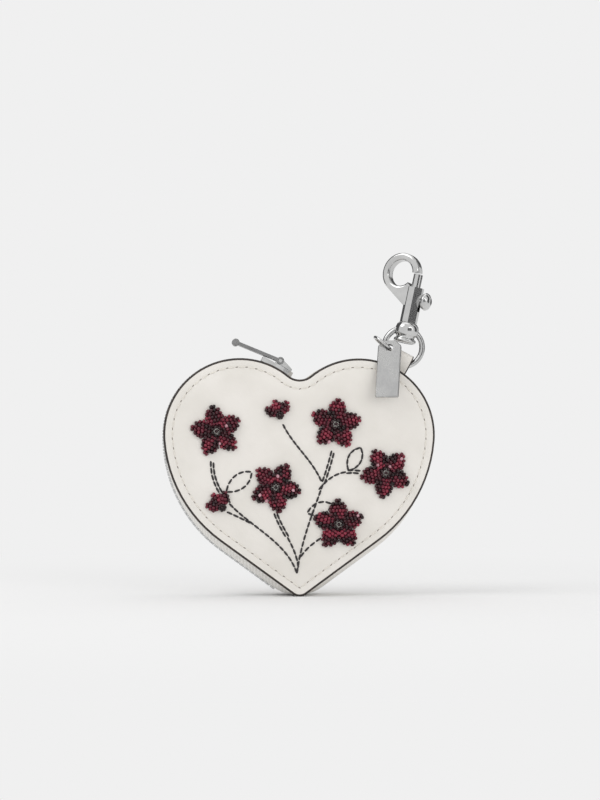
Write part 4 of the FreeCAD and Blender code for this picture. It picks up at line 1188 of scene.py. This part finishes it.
@dataclass
class HangerTab:
    """Leather strip folded round the ring, its two tails sewn inside the purse.

    Attributes:
        level: Height of the fold's middle along Y.
        tail_offset: Distance of a tail's middle from that of the fold.
        loop_offset: Distance of a cheek's middle from that of the fold.
        tail_end: Reach of the tails' ends from the lobe's middle.
        waist: Reach where the tails part.
        spread: Reach where the cheeks are fully apart.
        loop_centre: Reach of the middle of the round end.
        angle: Direction of the tab from the lobe's middle, in degrees.
        shift: Distance of the tab to the right of that direction.
    """

    level: float
    width: float = 7.6
    leather: float = 1.05
    tail_offset: float = 0.56
    loop_offset: float = 1.72
    tail_end: float = 21.2
    waist: float = 26.0
    spread: float = 28.2
    loop_centre: float = 31.25
    loop_steps: int = 10
    angle: float = 62.6
    shift: float = 1.1
    ring_reach: float = 28.0
    edge_paint: float = 0.42
    edge_round: float = 0.22
    round_steps: int = 2

    def fold(self) -> bmesh.types.BMesh:
        """Fold the strip, standing up along Z with its width along X.

        Returns:
            The strip's middle sheet, with the painted edge as material 1.
        """
        bm = bmesh.new()
        start = Vector((0.0, -self.tail_offset, self.tail_end)) * MM
        half, bare = self.width / 2, self.width / 2 - self.edge_paint
        ends = [bm.verts.new(start + Vector((x * MM, 0.0, 0.0))) for x in (-half, -bare, 0.0, bare, half)]
        row = [bm.edges.new(pair) for pair in zip(ends, ends[1:])]
        front = [(-self.tail_offset, self.tail_end), (-self.tail_offset, self.waist),
                 (-self.loop_offset, self.spread), (-self.loop_offset, self.loop_centre)]
        back = [(-offset, reach) for offset, reach in reversed(front)]
        for place, target in zip(front, front[1:]):
            row = self.extend(bm, row, place, target)
        turned = bmesh.ops.spin(bm, geom=row + list({vert for edge in row for vert in edge.verts}),
                                cent=Vector((0.0, 0.0, self.loop_centre)) * MM, axis=(-1, 0, 0), angle=math.pi,
                                steps=self.loop_steps)
        row = pick(turned["geom_last"], bmesh.types.BMEdge)
        for place, target in zip(back, back[1:]):
            row = self.extend(bm, row, place, target)
        bmesh.ops.recalc_face_normals(bm, faces=bm.faces)
        for face in bm.faces:
            face.material_index = 1 if abs(face.calc_center_median().x) > bare * MM else 0
        return bm

    def extend(self, bm: bmesh.types.BMesh, row: list[bmesh.types.BMEdge], place: tuple[float, float],
               target: tuple[float, float]) -> list[bmesh.types.BMEdge]:
        """Extend the strip by one straight run.

        Args:
            bm: Mesh of the strip.
            row: Edges at its end.
            place: Offset and reach of the end.
            target: Offset and reach of the new end.

        Returns:
            The new row of edges.
        """
        made = bmesh.ops.extrude_edge_only(bm, edges=row)["geom"]
        step = Vector((0.0, target[0] - place[0], target[1] - place[1])) * MM
        bmesh.ops.translate(bm, verts=pick(made, bmesh.types.BMVert), vec=step)
        return [edge for edge in pick(made, bmesh.types.BMEdge) if edge not in row and self.runs_across(edge)]

    def runs_across(self, edge: bmesh.types.BMEdge) -> bool:
        """True for an edge that runs across the strip."""
        way = edge.verts[1].co - edge.verts[0].co
        return abs(way.z) < SAME_LEVEL and abs(way.y) < SAME_LEVEL

    def build(self) -> None:
        """Set the folded strip on the right lobe; it bends from the purse to the ring."""
        bm = self.fold()
        turn = Matrix.Rotation(math.radians(90.0 - self.angle), 4, "Y")
        foot = Vector((-EDGE.LOBE.x, self.level, EDGE.LOBE.z))
        base = foot + turn @ Vector((self.shift, 0.0, 0.0))
        bmesh.ops.transform(bm, matrix=Matrix.Translation(base * MM) @ turn, verts=bm.verts)
        piece = new_piece("tab_leather", bm, [LEATHER, PAINTED_EDGE], sharp=50.0)
        thick = piece.modifiers.new("leather", "SOLIDIFY")
        thick.thickness, thick.offset, thick.material_offset_rim = self.leather * MM, 0.0, 1
        rounded = piece.modifiers.new("rounding", "BEVEL")
        rounded.width, rounded.segments = self.edge_round * MM, self.round_steps
        rounded.limit_method = "ANGLE"
        settle_modifiers(piece)
        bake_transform(piece)
        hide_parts("hanger_tab")
        report(piece)


@dataclass(frozen=True)
class Blossom:
    """A blossom of glass beads on a satin-stitched ground.

    Attributes:
        x: Place of the middle, across.
        z: Place of the middle, upwards.
        radius: Reach of the petals.
        turn: Direction of the first petal in degrees.
        petals: Number of petals.
        spread: Angle between petals in degrees.
        bead: Radius of a bead.
        patch: Size of the patches of like tone.
    """

    x: float
    z: float
    radius: float
    turn: float
    petals: int = 5
    spread: float = 72.0
    bead: float = 0.72
    patch: float = 2.6

    # shares of the reach: half a petal's width, where its rows of beads start, and the ring in the middle
    HALF_WIDTH = 0.37
    ROOT = 0.24
    RING = 0.17
    RING_BEADS = 7
    # distances of beads in bead radii, from row to row and in a row
    ROW_PITCH = 1.62
    BEAD_PITCH = 1.7
    # height of a petal's lowest bead, and how far its middle stands over that
    LOW, RISE = 0.2, 0.75
    # tones run from black at zero to garnet; a few beads are pale, as painted glints
    TONE, PATCH_TONE, EDGE_TONE = 0.5, 0.75, 0.12
    GARNET = 0.84
    PALE_SHARE = 0.012
    # how far a bead strays across and along its petal, and in tone
    STRAY_ACROSS, STRAY_ALONG, STRAY_TONE = 0.08, 0.1, 0.1
    # share of a petal's last row that is left open in the middle, which notches its end
    OPEN_SHARE = 0.3
    # heights of the ring in the middle and of the bead in it, size of these beads and their lightest tone
    RING_LIFT, MIDDLE_LIFT = 0.7, 1.05
    RING_SIZE = 0.95
    RING_TONE = 0.25

    def ways(self) -> list[Vector]:
        """Directions of the petals, across and upwards."""
        angles = [math.radians(self.turn + petal * self.spread) for petal in range(self.petals)]
        return [Vector((math.cos(angle), math.sin(angle))) for angle in angles]

    def half_width(self, share: float) -> float:
        """Half the width of a petal, at a share of its length."""
        bow = math.sin(math.pi * min(1.0, share) ** 0.8)
        return self.HALF_WIDTH * self.radius * math.sqrt(max(0.0, bow))

    def beads(self, draw: random.Random) -> Iterator[tuple[float, float, float, float, float]]:
        """Lay the beads in rows across each petal, and a ring of them in the middle.

        Args:
            draw: Seeded source of small differences.

        Yields:
            Place across and upwards, height, radius and tone of a bead.
        """
        root = self.ROOT * self.radius
        rows = int((self.radius - root) / (self.ROW_PITCH * self.bead))
        for way in self.ways():
            for number in range(rows + 1):
                share = (number + 0.4) / (rows + 0.6)
                half = self.half_width(share)
                count = max(1, int(2 * half / (self.BEAD_PITCH * self.bead)) + 1)
                for place in range(count):
                    aside = half * (2 * (place + 0.5) / count - 1)
                    aside += draw.uniform(-self.STRAY_ACROSS, self.STRAY_ACROSS)
                    if number == rows and count > 1 and abs(aside) < self.OPEN_SHARE * half:
                        continue
                    out = root + share * (self.radius - root) + draw.uniform(-self.STRAY_ALONG, self.STRAY_ALONG)
                    across = abs(aside) / max(half, 0.1)
                    lift = self.LOW + self.RISE * (1 - across ** 2) * math.sin(math.pi * share)
                    spot = Vector((self.x + way.x * out - way.y * aside, 0.0,
                                   self.z + way.y * out + way.x * aside))
                    patch = noise.noise(spot / self.patch)
                    tone = self.TONE + self.PATCH_TONE * patch - self.EDGE_TONE * across ** 2
                    tone += draw.uniform(-self.STRAY_TONE, self.STRAY_TONE)
                    tone = 1.0 if draw.random() < self.PALE_SHARE else min(self.GARNET, max(0.0, tone))
                    yield spot.x, spot.z, lift, self.bead * draw.uniform(0.9, 1.08), tone
        for number in range(self.RING_BEADS + 1):
            angle = math.tau * number / self.RING_BEADS if number else 0.0
            out = self.RING * self.radius if number else 0.0
            lift = self.RING_LIFT if number else self.MIDDLE_LIFT
            yield (self.x + math.cos(angle) * out, self.z + math.sin(angle) * out, lift,
                   self.bead * self.RING_SIZE, draw.uniform(0.0, self.RING_TONE))


@dataclass(frozen=True)
class SewnLine:
    """A line of running stitches along one bent curve.

    Attributes:
        points: Start, two handles and end of the curve, across and upwards.
        double: Share of the line, at its end, that has a second row.
    """

    points: tuple[tuple[float, float], ...]
    double: float = 0.0
    steps: int = 48

    def path(self) -> list[Vector]:
        """Points along the curve."""
        corners = [Vector((x, 0.0, z)) for x, z in self.points]
        return list(geometry.interpolate_bezier(*corners, self.steps))


@dataclass
class BeadWork:
    """Beaded blossoms and stitched stems and leaves on one face.

    Attributes:
        panel: Leather that carries the work.
        blossoms: Blossoms and buds.
        lines: Stems and leaf outlines.
        seed: Start of the small differences.
    """

    panel: LeatherPanel
    blossoms: Sequence[Blossom]
    lines: Sequence[SewnLine]
    seed: int = 5
    stem_stitch: StitchShape = StitchShape(length=1.75, radius=0.36, arch=0.32, proud=0.12)
    pitch: float = 2.3
    row_gap: float = 0.95
    row_stagger: float = 0.5
    # shares of a bead's radius: how far its middle stands over the ground, and its height
    bead_rise: float = 0.35
    bead_height: float = 0.82
    # the grounds start at this share of a petal's reach and end this far inside the beads
    ground_root: float = 0.12
    ground_margin: float = 0.3
    ground_width: float = 0.34
    ground_height: float = 0.85
    ground_sink: float = 0.1

    def build_grounds(self) -> None:
        """Make the raised satin-stitched petals under the beads."""
        bm = bmesh.new()
        layer = bm.verts.layers.float.new("along")
        for blossom in self.blossoms:
            root = self.ground_root * blossom.radius
            half = (blossom.radius - root) / 2 - self.ground_margin
            size = Matrix.Diagonal((half, self.ground_width * blossom.radius, self.ground_height, 1.0))
            for flat in blossom.ways():
                way = Vector((flat.x, 0.0, flat.y))
                middle = Vector((blossom.x, 0.0, blossom.z)) + way * (root + half)
                frame = upright(self.panel.on_face(middle.x, middle.z, -self.ground_sink), way, self.panel.up)
                made = bmesh.ops.create_uvsphere(bm, u_segments=16, v_segments=8, radius=MM, matrix=frame @ size)
                for vert in made["verts"]:
                    vert[layer] = (vert.co - middle * MM).dot(way)
        piece = new_piece(f"{self.panel.word}_blossom_grounds", bm, [SATIN_GROUND])
        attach(piece, self.panel.body)
        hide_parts(f"{self.panel.word}_blossoms")
        report(piece)

    def build_blossoms(self) -> None:
        """Make each blossom as one beaded piece on its ground."""
        draw = random.Random(self.seed)
        bm = bmesh.new()
        bmesh.ops.create_uvsphere(bm, u_segments=8, v_segments=5, radius=1.0)
        bm.verts.layers.float.new("tone")
        seed_bead = to_mesh("seed_bead", bm)
        for number, blossom in enumerate(self.blossoms, start=1):
            bm = bmesh.new()
            for x, z, lift, radius, tone in blossom.beads(draw):
                middle = self.panel.on_face(x, z, lift + self.bead_rise * radius)
                hole = Matrix.Rotation(draw.uniform(0.0, math.pi), 4, "Y")
                size = Matrix.Diagonal((radius * MM, radius * MM, radius * self.bead_height * MM, 1.0))
                stamp(bm, seed_bead, Matrix.Translation(middle * MM) @ hole @ size, tone)
            piece = new_piece(f"{self.panel.word}_blossom_{number}", bm, [BEADS], sharp=180.0)
            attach(piece, self.panel.body)
            report(piece)
        bpy.data.meshes.remove(seed_bead)

    def build_lines(self) -> None:
        """Sew the stems and leaves in black running stitch."""
        stitch = self.stem_stitch.template("running_stitch")
        bm = bmesh.new()
        for line in self.lines:
            places = evenly(line.path(), self.pitch)
            for number, (place, along) in enumerate(places):
                side = self.panel.up.cross(along)
                doubled = number >= (1.0 - line.double) * len(places)
                for offset in ((-0.5, 0.5) if doubled else (0.0,)):
                    point = place + side * offset * self.row_gap + along * offset * self.row_stagger
                    stamp(bm, stitch, upright(self.panel.on_face(point.x, point.z), along, self.panel.up))
        bpy.data.meshes.remove(stitch)
        piece = new_piece(f"{self.panel.word}_stem_thread", bm, [BLACK_THREAD])
        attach(piece, self.panel.body)
        report(piece)

    def build(self) -> None:
        """Make grounds, beads and stitched lines."""
        self.build_grounds()
        self.build_blossoms()
        self.build_lines()


# how far a leaf's edge bows out, as a share of its width, and where along its length
LEAF_BOW = 0.66
LEAF_HANDLES = (0.3, 0.75)


def leaf(foot: tuple[float, float], angle: float, length: float, width: float) -> list[SewnLine]:
    """Outline a leaf in two stitched lines.

    Args:
        foot: Place where the leaf starts.
        angle: Direction of the leaf in degrees.
        length: Length of the leaf.
        width: Width of the leaf.

    Returns:
        The two edges of the leaf.
    """
    way = Vector((math.cos(math.radians(angle)), math.sin(math.radians(angle))))
    base = Vector(foot)
    edges = []
    for sign in (-1, 1):
        aside = Vector((-way.y, way.x)) * width * LEAF_BOW * sign
        handles = [base + way * length * share + aside for share in LEAF_HANDLES]
        edges.append(SewnLine(tuple(tuple(corner) for corner in (base, *handles, base + way * length))))
    return edges


def bud(x: float, z: float, radius: float, turn: float) -> Blossom:
    """A small blossom of three petals that stand close together."""
    return Blossom(x, z, radius, turn, petals=3, spread=46.0)


FRONT_BLOSSOMS = (
    Blossom(-29.0, 57.5, 8.8, 100.0), Blossom(-8.5, 38.0, 8.8, 62.0), Blossom(12.5, 60.0, 8.8, 84.0),
    Blossom(30.0, 43.0, 8.8, 118.0), Blossom(13.5, 25.0, 8.8, 20.0),
    bud(-27.0, 31.0, 5.6, 80.0), bud(-7.0, 63.0, 5.4, 62.0),
)
FRONT_LINES = (
    SewnLine(((-1.0, 8.0), (-6.0, 24.0), (-31.0, 28.0), (-30.5, 47.0)), double=0.35),
    SewnLine(((-1.0, 8.0), (1.0, 24.0), (8.0, 36.0), (11.5, 50.5)), double=0.3),
    SewnLine(((-0.5, 10.0), (-1.5, 18.0), (-6.0, 22.0), (-8.5, 29.0)), double=0.5),
    SewnLine(((0.0, 13.5), (2.5, 17.0), (4.0, 18.0), (7.5, 20.5))),
    SewnLine(((6.5, 37.0), (11.0, 43.0), (16.0, 44.0), (21.0, 43.2)), double=0.4),
    SewnLine(((-17.0, 25.5), (-20.0, 27.0), (-23.0, 28.5), (-25.5, 29.5))),
    SewnLine(((7.5, 40.0), (4.0, 48.0), (-2.0, 52.0), (-6.0, 60.0))),
    *leaf((-25.5, 36.5), 38.0, 11.0, 5.0), *leaf((17.0, 43.8), 62.0, 9.0, 4.6), *leaf((2.6, 29.0), 20.0, 9.0, 4.2),
)
BACK_BLOSSOMS = (
    Blossom(27.0, 55.0, 8.8, 96.0), Blossom(-15.0, 58.0, 8.8, 70.0), Blossom(5.0, 33.0, 8.8, 105.0),
    bud(-30.0, 43.0, 5.6, 100.0),
)
BACK_LINES = (
    SewnLine(((1.0, 8.0), (12.0, 18.0), (27.0, 26.0), (27.5, 45.0)), double=0.35),
    SewnLine(((1.0, 8.0), (-3.0, 22.0), (-12.0, 32.0), (-14.5, 48.5)), double=0.3),
    SewnLine(((-10.5, 31.0), (-18.0, 33.0), (-24.0, 36.0), (-29.0, 41.0))),
    SewnLine(((0.2, 11.0), (3.0, 15.0), (4.0, 19.0), (4.5, 23.5)), double=0.5),
    *leaf((21.0, 25.5), 98.0, 10.0, 4.8), *leaf((-12.0, 35.0), 52.0, 9.0, 4.4),
)


@dataclass
class Hardware:
    """Metal and board nodes of the frame that keep their CAD shape.

    Attributes:
        finishes: Finish of each node.
        rounded: How far tumbling rounds the edges of the flat pieces.
        turned: Round pieces, which are shaded smoothly up to their sharp edges.
    """

    finishes: dict[str, Finish] = field(default_factory=lambda: {
        **{name: NICKEL for name in (
            "zip_teeth_front", "zip_teeth_back", "zip_top_stop_front", "zip_top_stop_back", "zip_bottom_stop",
            "zip_slider", "pull_pin", "hanger_ring", "jump_ring", "swivel_eye", "hook_body", "hook_bolt",
            "bolt_knob")},
        "hang_tag": SATIN_NICKEL_SHADED, "zip_pull": SHADED_NICKEL, "front_board": BOARD, "back_board": BOARD})
    rounded: dict[str, float] = field(default_factory=lambda: {
        "zip_slider": 0.3, "zip_pull": 0.4, "hang_tag": 0.25, "zip_bottom_stop": 0.2, "zip_teeth_front": 0.16,
        "zip_teeth_back": 0.16, "zip_top_stop_front": 0.12, "zip_top_stop_back": 0.12})
    turned: tuple[str, ...] = ("swivel_eye", "bolt_knob")
    # angles in degrees: less than the first is flat, more than the second is rounded, more than the third sharp
    flat_angle: float = 1.0
    round_angle: float = 40.0
    sharp_angle: float = 62.0
    round_steps: int = 3

    def dress(self, nodes: dict[str, bpy.types.Object]) -> None:
        """Give each node its finish.

        Args:
            nodes: CAD nodes by name.
        """
        smooth = self.smooth_shading()
        for name, finish in self.finishes.items():
            node = nodes[name]
            node.data.materials.clear()
            node.data.materials.append(finish.material())
            if name in self.rounded:
                self.round_edges(node, self.rounded[name])
            if name in self.turned:
                node.modifiers.new("smooth_shading", "NODES").node_group = smooth
            report(node)

    def round_edges(self, node: bpy.types.Object, width: float) -> None:
        """Join a node's loose triangles into flat faces and round the edges between them.

        Args:
            node: CAD node, whose own mesh stays as it is.
            width: How far the rounding reaches.
        """
        node.modifiers.new("joined", "WELD").merge_threshold = SAME_POINT
        flat = node.modifiers.new("flat_faces", "DECIMATE")
        flat.decimate_type, flat.angle_limit = "DISSOLVE", math.radians(self.flat_angle)
        edges = node.modifiers.new("rounded_edges", "BEVEL")
        edges.width, edges.segments, edges.harden_normals = width * MM, self.round_steps, True
        edges.limit_method, edges.angle_limit = "ANGLE", math.radians(self.round_angle)

    def smooth_shading(self) -> bpy.types.NodeTree:
        """Make the shading of turned metal, smooth up to its sharp edges.

        Returns:
            A group that joins a node's loose triangles and shades them anew.
        """
        group = bpy.data.node_groups.new("smooth_shading", "GeometryNodeTree")
        for way in ("INPUT", "OUTPUT"):
            group.interface.new_socket("Geometry", in_out=way, socket_type="NodeSocketGeometry")
        given = add_node(group, "NodeGroupInput")
        joined = add_node(group, "GeometryNodeMergeByDistance", {"Distance": SAME_POINT},
                          {"Geometry": given.outputs["Geometry"]})
        angle = add_node(group, "GeometryNodeInputMeshEdgeAngle")
        sharp = add_node(group, "FunctionNodeCompare", {"B": math.radians(self.sharp_angle)},
                         {"A": angle.outputs["Unsigned Angle"]})
        shaded = add_node(group, "GeometryNodeSetMeshNormal", {"Remove Custom": True},
                          {"Mesh": joined.outputs["Geometry"], "Edge Sharpness": sharp.outputs["Result"]})
        add_node(group, "NodeGroupOutput", links={"Geometry": shaded.outputs["Mesh"]})
        return group


@dataclass
class BoltSpring:
    """Coil spring in the barrel, which closes up as the bolt is drawn back.

    Attributes:
        wire: Radius of the wire.
        rise: Height of the wire's middle line.
        closed: Share of its height that is left when the bolt is drawn back; not used.
    """

    wire: float = 0.15
    wire_sides: int = 8
    rise: float = 3.55
    turns: int = 4
    steps: int = 96
    closed: float = 0.27

    def build(self, joints: Sequence[dict[str, Any]]) -> None:
        """Coil the wire and stand it along the bolt's slide.

        Args:
            joints: Joints of the frame.
        """
        inward = Vector(next(joint["axis"] for joint in joints if joint["name"] == "bolt_slide")).normalized()
        low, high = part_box("bolt_spring")
        middle = (low + high) / 2
        coil = (high.y - low.y) / 2 - self.wire * MM
        bm = bmesh.new()
        bmesh.ops.create_circle(bm, cap_ends=True, segments=self.wire_sides, radius=self.wire * MM)
        stand = Matrix.Translation((coil, 0.0, -self.rise / 2 * MM)) @ Matrix.Rotation(math.pi / 2, 4, "X")
        bmesh.ops.transform(bm, matrix=stand, verts=bm.verts)
        bmesh.ops.spin(bm, geom=[*bm.verts, *bm.edges, *bm.faces], cent=(0.0, 0.0, 0.0), axis=(0.0, 0.0, 1.0),
                       dvec=(0.0, 0.0, self.rise * MM / self.steps), angle=self.turns * math.tau, steps=self.steps)
        lean = (-inward).to_track_quat("Z", "Y").to_matrix().to_4x4()
        bmesh.ops.transform(bm, matrix=Matrix.Translation(middle) @ lean, verts=bm.verts)
        bmesh.ops.recalc_face_normals(bm, faces=bm.faces)
        spring = new_piece("bolt_coil", bm, [SPRING_STEEL], sharp=60.0)
        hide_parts("bolt_spring")
        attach(spring, "hook")
        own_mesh(spring)
        report(spring)


@dataclass(frozen=True)
class SoftLamp:
    """A large soft lamp: its place and size in metres and its power in watts."""

    name: str
    place: tuple[float, float, float]
    size: float
    power: float


@dataclass(frozen=True)
class Flag:
    """A dark field beside the purse: its middle, width and height in metres."""

    name: str
    place: tuple[float, float, float]
    width: float
    height: float


@dataclass
class Studio:
    """Pale floor, soft lamps, dark flags for the metal, and the camera.

    Attributes:
        target: Place that the camera, the lamps and the flags face.
        frame_height: Height of the picture at the target.
        sky: Strength of the even light from all round.
    """

    target: tuple[float, float, float] = (0.0001, -0.0063, 0.0684)
    azimuth: float = -4.0
    elevation: float = -1.5
    lens: float = 90.0
    sensor: float = 36.0
    frame_height: float = 0.279
    floor_radius: float = 4.0
    floor_sides: int = 96
    clip: tuple[float, float] = (0.01, 20.0)
    backdrop: str = "#F0F0F0"
    sky: float = 0.76
    lamps: tuple[SoftLamp, ...] = (
        SoftLamp("key_lamp", (-0.9, -0.42, 1.25), 1.0, 5.0),
        SoftLamp("fill_lamp", (0.75, -1.25, 0.35), 1.0, 4.2),
        SoftLamp("top_lamp", (0.05, 0.3, 1.3), 1.0, 1.4),
    )
    flags: tuple[Flag, ...] = (
        Flag("flag_front", (0.27, -0.58, 0.12), 0.48, 0.42),
        Flag("flag_left", (-0.60, 0.50, 0.70), 1.30, 1.60),
        Flag("flag_right", (0.60, 0.02, 0.36), 0.34, 0.90),
        Flag("flag_back", (0.42, 0.90, 0.70), 1.10, 1.60),
    )

    def build(self) -> None:
        """Set up floor, light and camera."""
        bm = bmesh.new()
        bmesh.ops.create_circle(bm, cap_ends=True, segments=self.floor_sides, radius=self.floor_radius)
        floor = new_piece("studio_floor", bm, [PAPER])
        self.build_sky()
        self.build_lamps()
        self.build_flags()
        self.build_camera()
        bpy.context.scene.view_settings.view_transform = "Standard"

    def build_sky(self) -> None:
        """Even light from all round, and a plain pale backdrop where it is looked at."""
        world = bpy.data.worlds.new("studio_sky")
        world.use_nodes = True
        tree = world.node_tree
        tree.nodes.clear()
        light = add_node(tree, "ShaderNodeBackground", {"Color": (1.0, 1.0, 1.0, 1.0), "Strength": self.sky})
        seen = add_node(tree, "ShaderNodeBackground", {"Color": linear(self.backdrop), "Strength": 1.0})
        mixed = add_node(tree, "ShaderNodeMixShader", links={
            0: looking_ray(tree), 1: light.outputs["Background"], 2: seen.outputs["Background"]})
        add_node(tree, "ShaderNodeOutputWorld", links={"Surface": mixed.outputs["Shader"]})
        bpy.context.scene.world = world

    def build_lamps(self) -> None:
        """Hang the lamps and turn them to the purse."""
        for lamp in self.lamps:
            data = bpy.data.lights.new(lamp.name, "AREA")
            data.shape, data.size, data.energy = "DISK", lamp.size, lamp.power
            shown = bpy.data.objects.new(lamp.name, data)
            shown.location = lamp.place
            facing = Vector(self.target) - Vector(lamp.place)
            shown.rotation_euler = facing.to_track_quat("-Z", "Y").to_euler()
            bpy.context.scene.collection.objects.link(shown)

    def build_flags(self) -> None:
        """Stand the dark flags outside the picture, for the metal alone."""
        for flag in self.flags:
            bm = bmesh.new()
            bmesh.ops.create_grid(bm, x_segments=1, y_segments=1, size=0.5)
            bmesh.ops.scale(bm, verts=bm.verts, vec=(flag.width, flag.height, 1.0))
            facing = Vector((self.target[0] - flag.place[0], self.target[1] - flag.place[1], 0.0))
            turn = facing.to_track_quat("Z", "Y").to_matrix().to_4x4()
            bmesh.ops.transform(bm, matrix=Matrix.Translation(Vector(flag.place)) @ turn, verts=bm.verts)
            shown = new_piece(flag.name, bm, [FELT])
            shown.visible_camera = shown.visible_diffuse = shown.visible_shadow = False

    def build_camera(self) -> None:
        """Stand the camera level with the purse, a little to the left."""
        data = bpy.data.cameras.new("camera")
        data.lens, data.sensor_width = self.lens, self.sensor
        data.clip_start, data.clip_end = self.clip
        camera = bpy.data.objects.new("camera", data)
        turn, rise = math.radians(self.azimuth), math.radians(self.elevation)
        back = Vector((math.sin(turn) * math.cos(rise), -math.cos(turn) * math.cos(rise), math.sin(rise)))
        camera.location = Vector(self.target) + back * (self.frame_height * self.lens / self.sensor)
        camera.rotation_euler = (-back).to_track_quat("-Z", "Y").to_euler()
        bpy.context.scene.collection.objects.link(camera)
        bpy.context.scene.camera = camera


def main() -> None:
    """Build every class in order."""
    logging.basicConfig(level=logging.INFO, format="%(name)s %(message)s")
    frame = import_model()
    Hardware().dress(frame["nodes"])
    BoltSpring().build(frame["joints"])
    front, back = LeatherPanel(Side.FRONT), LeatherPanel(Side.BACK)
    for panel in (front, back):
        panel.build()
    PurseSides((front.inner + back.inner) / 2).build()
    HangerTab(sum(corner.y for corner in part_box("hanger_ring")) / 2 / MM).build()
    BeadWork(front, FRONT_BLOSSOMS, FRONT_LINES).build()
    BeadWork(back, BACK_BLOSSOMS, BACK_LINES, seed=9).build()
    Studio().build()


if __name__ == "__main__":
    main()
